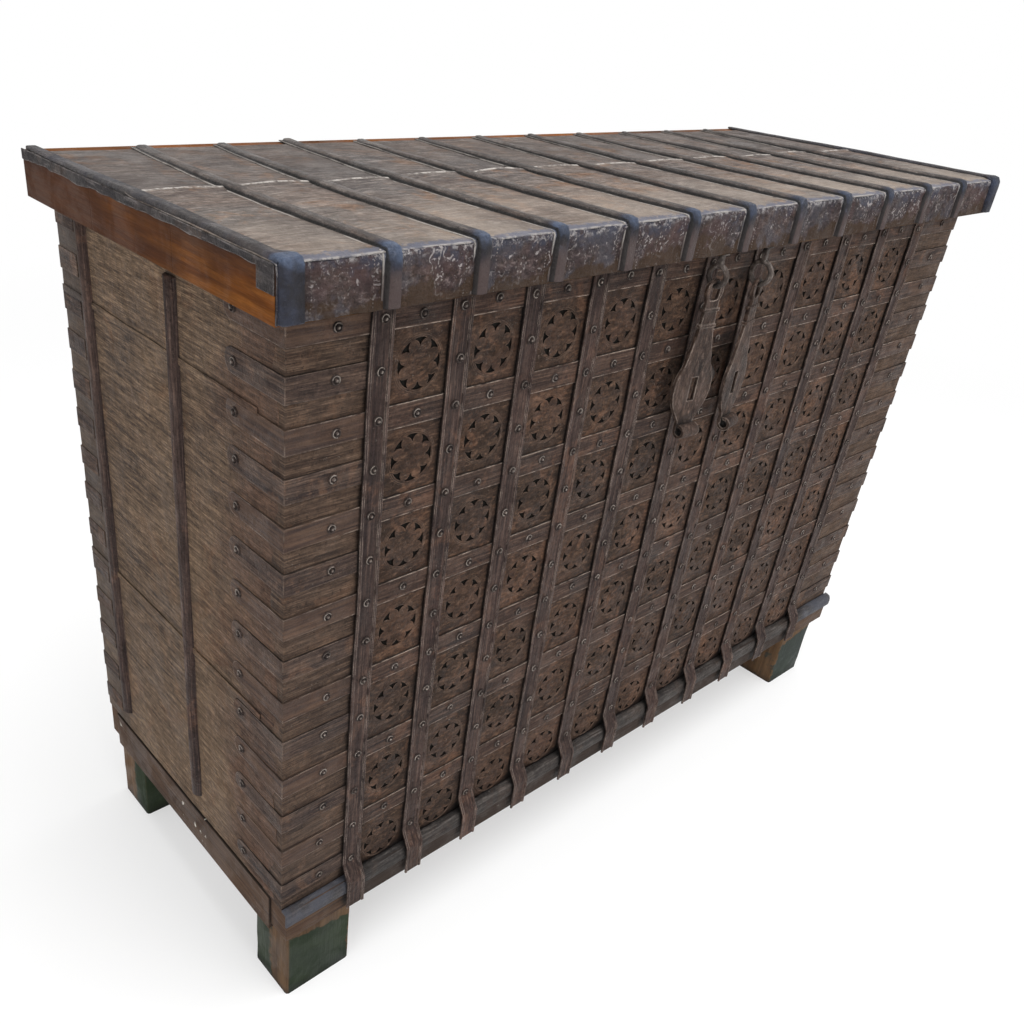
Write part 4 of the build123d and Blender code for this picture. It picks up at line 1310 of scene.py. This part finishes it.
ribs = []
for i, x in enumerate(rib_xs):
    at_lid_end = i in (0, 12)
    end = long_end - 0.001 if i in (0, 3, 12) else back_y - 0.004
    # a flat hem either side of a hollow bead; the two end ribs are one broad bead with no hem
    bead_wide = 0.023 if at_lid_end else 0.0155
    bead = bent_bar(f"bead_{i}", x, end, bead_wide, bead_high)
    round_off(
        bead,
        lambda e: not along(bead, e, 0)
        and abs(abs(middle_of(bead, e).x - x) - bead_wide / 2) < 1e-4
        and (middle_of(bead, e).z > sheet_top + 0.003 or middle_of(bead, e).y < lid_front - 0.004),
        0.0052,
        4,
    )
    outer = math.copysign(0.65, x)
    for spot in (point.co for point in bead.data.vertices):
        if at_lid_end:
            spot.x -= 0.0007 * math.copysign(1, x)
            if spot.y > lid_front + 0.008:
                spot.x = outer + 0.62 * (spot.x - outer)
                spot.z = sheet_top + 0.8 * (spot.z - sheet_top)
        elif spot.z < sheet_top - 0.006:
            spot.x = x + 1.15 * (spot.x - x)
        # beaten flatter towards the back
        if spot.z > sheet_top + 0.0003:
            kept_high = 1 - 0.45 * max(0, min(1, (spot.y - 0.02) / 0.18))
            spot.z = sheet_top + kept_high * (spot.z - sheet_top)
    crease_shade_marks = bead.data.attributes.new("rim", "FLOAT", "POINT")
    # rim -1 along the bead's left foot carries the painted shade in the crease
    for mark, point in zip(crease_shade_marks.data, bead.data.vertices):
        mark.value = -1 if point.co.x < x - 0.45 * bead_wide and not at_lid_end else 0
    ribs.append(bead)
    if not at_lid_end:
        flange = bent_bar(f"hem_{i}", x, end + 0.002, hem_wide, hem_thick)
        divide(flange, 0, 0.0018)
        rims = flange.data.attributes.new("rim", "FLOAT", "POINT")
        # rim 1 at the hem's left edge carries its painted highlight
        for mark, point in zip(rims.data, flange.data.vertices):
            mark.value = max(0, 1 - (point.co.x - x + hem_wide / 2) / 0.0034)
        ribs.append(flange)
ribs = joined("lid_ribs_beaten", ribs)
roughen(ribs, 0.004, 0.15, "X")
roughen(ribs, 0.0016, 0.06, "Z")
roughen(ribs, 0.0018, 0.02, "Y")
sway(ribs)
smooth(ribs, 45)
place_on(ribs, "lid", "rib_iron", rib_iron, "lid_ribs")

# ------------------------------------------------------------------------------
# Hasps: two forged hasps hang from rings under the lid's edge, each with an oval
# eye, a collared neck, a slotted leaf and a scrolled tip.

hasp_iron = worn_iron(
    "hasp_iron", dark=(0.028, 0.016, 0.0117), warm=(0.08, 0.0423, 0.0279),
    cool=(0.045, 0.031, 0.0261), pale=(0.22, 0.155, 0.125), rust=(0.16, 0.095, 0.065),
    stretch=(90, 90, 22), patch=17.0, edge_width=0.003, edge_tint=(0.42, 0.34, 0.29),
    edge_share=0.9, rough=(0.42, 0.65), metal=0.3,
)
# the rings are paler and glossier than the hasps: a painted highlight
ring_iron_highlit = worn_iron(
    "ring_iron_highlit", dark=(0.06, 0.046, 0.04), warm=(0.13, 0.1, 0.082), cool=(0.1, 0.088, 0.083),
    pale=(0.36, 0.31, 0.28), rust=(0.12, 0.075, 0.052), stretch=(120, 40, 40), patch=24.0,
    streak=0.5, edge_tint=(0.4, 0.35, 0.31), rough=(0.35, 0.55), metal=0.35,
)
for side in ("left", "right"):
    hasp = merged_copy(f"hasp_{side}", f"hasp_{side}_forged")
    # the eye at its head was drawn out round a bar, so it is oval
    low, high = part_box(f"hasp_eye_{side}")
    hang_x, hang_y = (low.x + high.x) / 2, (low.y + high.y) / 2
    bar_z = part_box(f"hasp_{side}")[1].z - 0.00275
    round_r, oval_r = 0.011, 0.01375
    slice_at(hasp, 2, [bar_z + 0.0015 - 0.003 * k for k in range(11)])
    slice_at(hasp, 0, [hang_x - 0.012 + 0.003 * k for k in range(9)])
    for spot in (point.co for point in hasp.data.vertices):
        height = (spot.z - bar_z + round_r) / oval_r
        if height > -1.5:
            out = min(1, math.hypot(spot.x - hang_x, spot.y - hang_y) / 0.014)
            level = max(-1, min(1, height))
            draw_in = math.sqrt(1 - level * level / 2)
            if height < -1:
                draw_in += (1 - draw_in) * min(1, (-1 - height) / 0.45)
            else:
                spot.z = bar_z - round_r + oval_r * height * math.sqrt(1 - out * out / 2)
            spot.x = hang_x + draw_in * (spot.x - hang_x)
    soften(hasp, 0.001)
    smooth(hasp, 40)
    place_on(hasp, f"hasp_{side}_body", "hasp_iron", hasp_iron, f"hasp_{side}")
# the rings they hang from, on shanks driven up into the lid through a small washer
rod = 0.0066
for side in ("left", "right"):
    low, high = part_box(f"hasp_eye_{side}")
    middle_x, middle_y = (low.x + high.x) / 2, (low.y + high.y) / 2
    ring_r = (high.y - low.y - rod) / 2
    ring_z = low.z + ring_r + rod / 2
    ring = ring_of(f"ring_{side}", (middle_x, middle_y, ring_z), ring_r, rod / 2, 36, 12)
    roughen(ring, 0.0006, 0.01)
    shank = block(
        f"shank_{side}",
        (middle_x - rod / 2, middle_y - rod / 2, ring_z + ring_r),
        (middle_x + rod / 2, middle_y + rod / 2, high.z),
    )
    soften(shank, 0.0014, 3)
    washer = block(
        f"washer_{side}",
        (middle_x - rod, middle_y - rod, high.z - 0.0014),
        (middle_x + rod, middle_y + rod, high.z),
    )
    round_off(washer, lambda e: along(washer, e, 2), 0.003, 4)
    eye = joined(f"hasp_eye_{side}_forged", [ring, shank, washer])
    smooth(eye, 40)
    place_on(eye, "lid", "hasp_iron", ring_iron_highlit, f"hasp_eye_{side}")
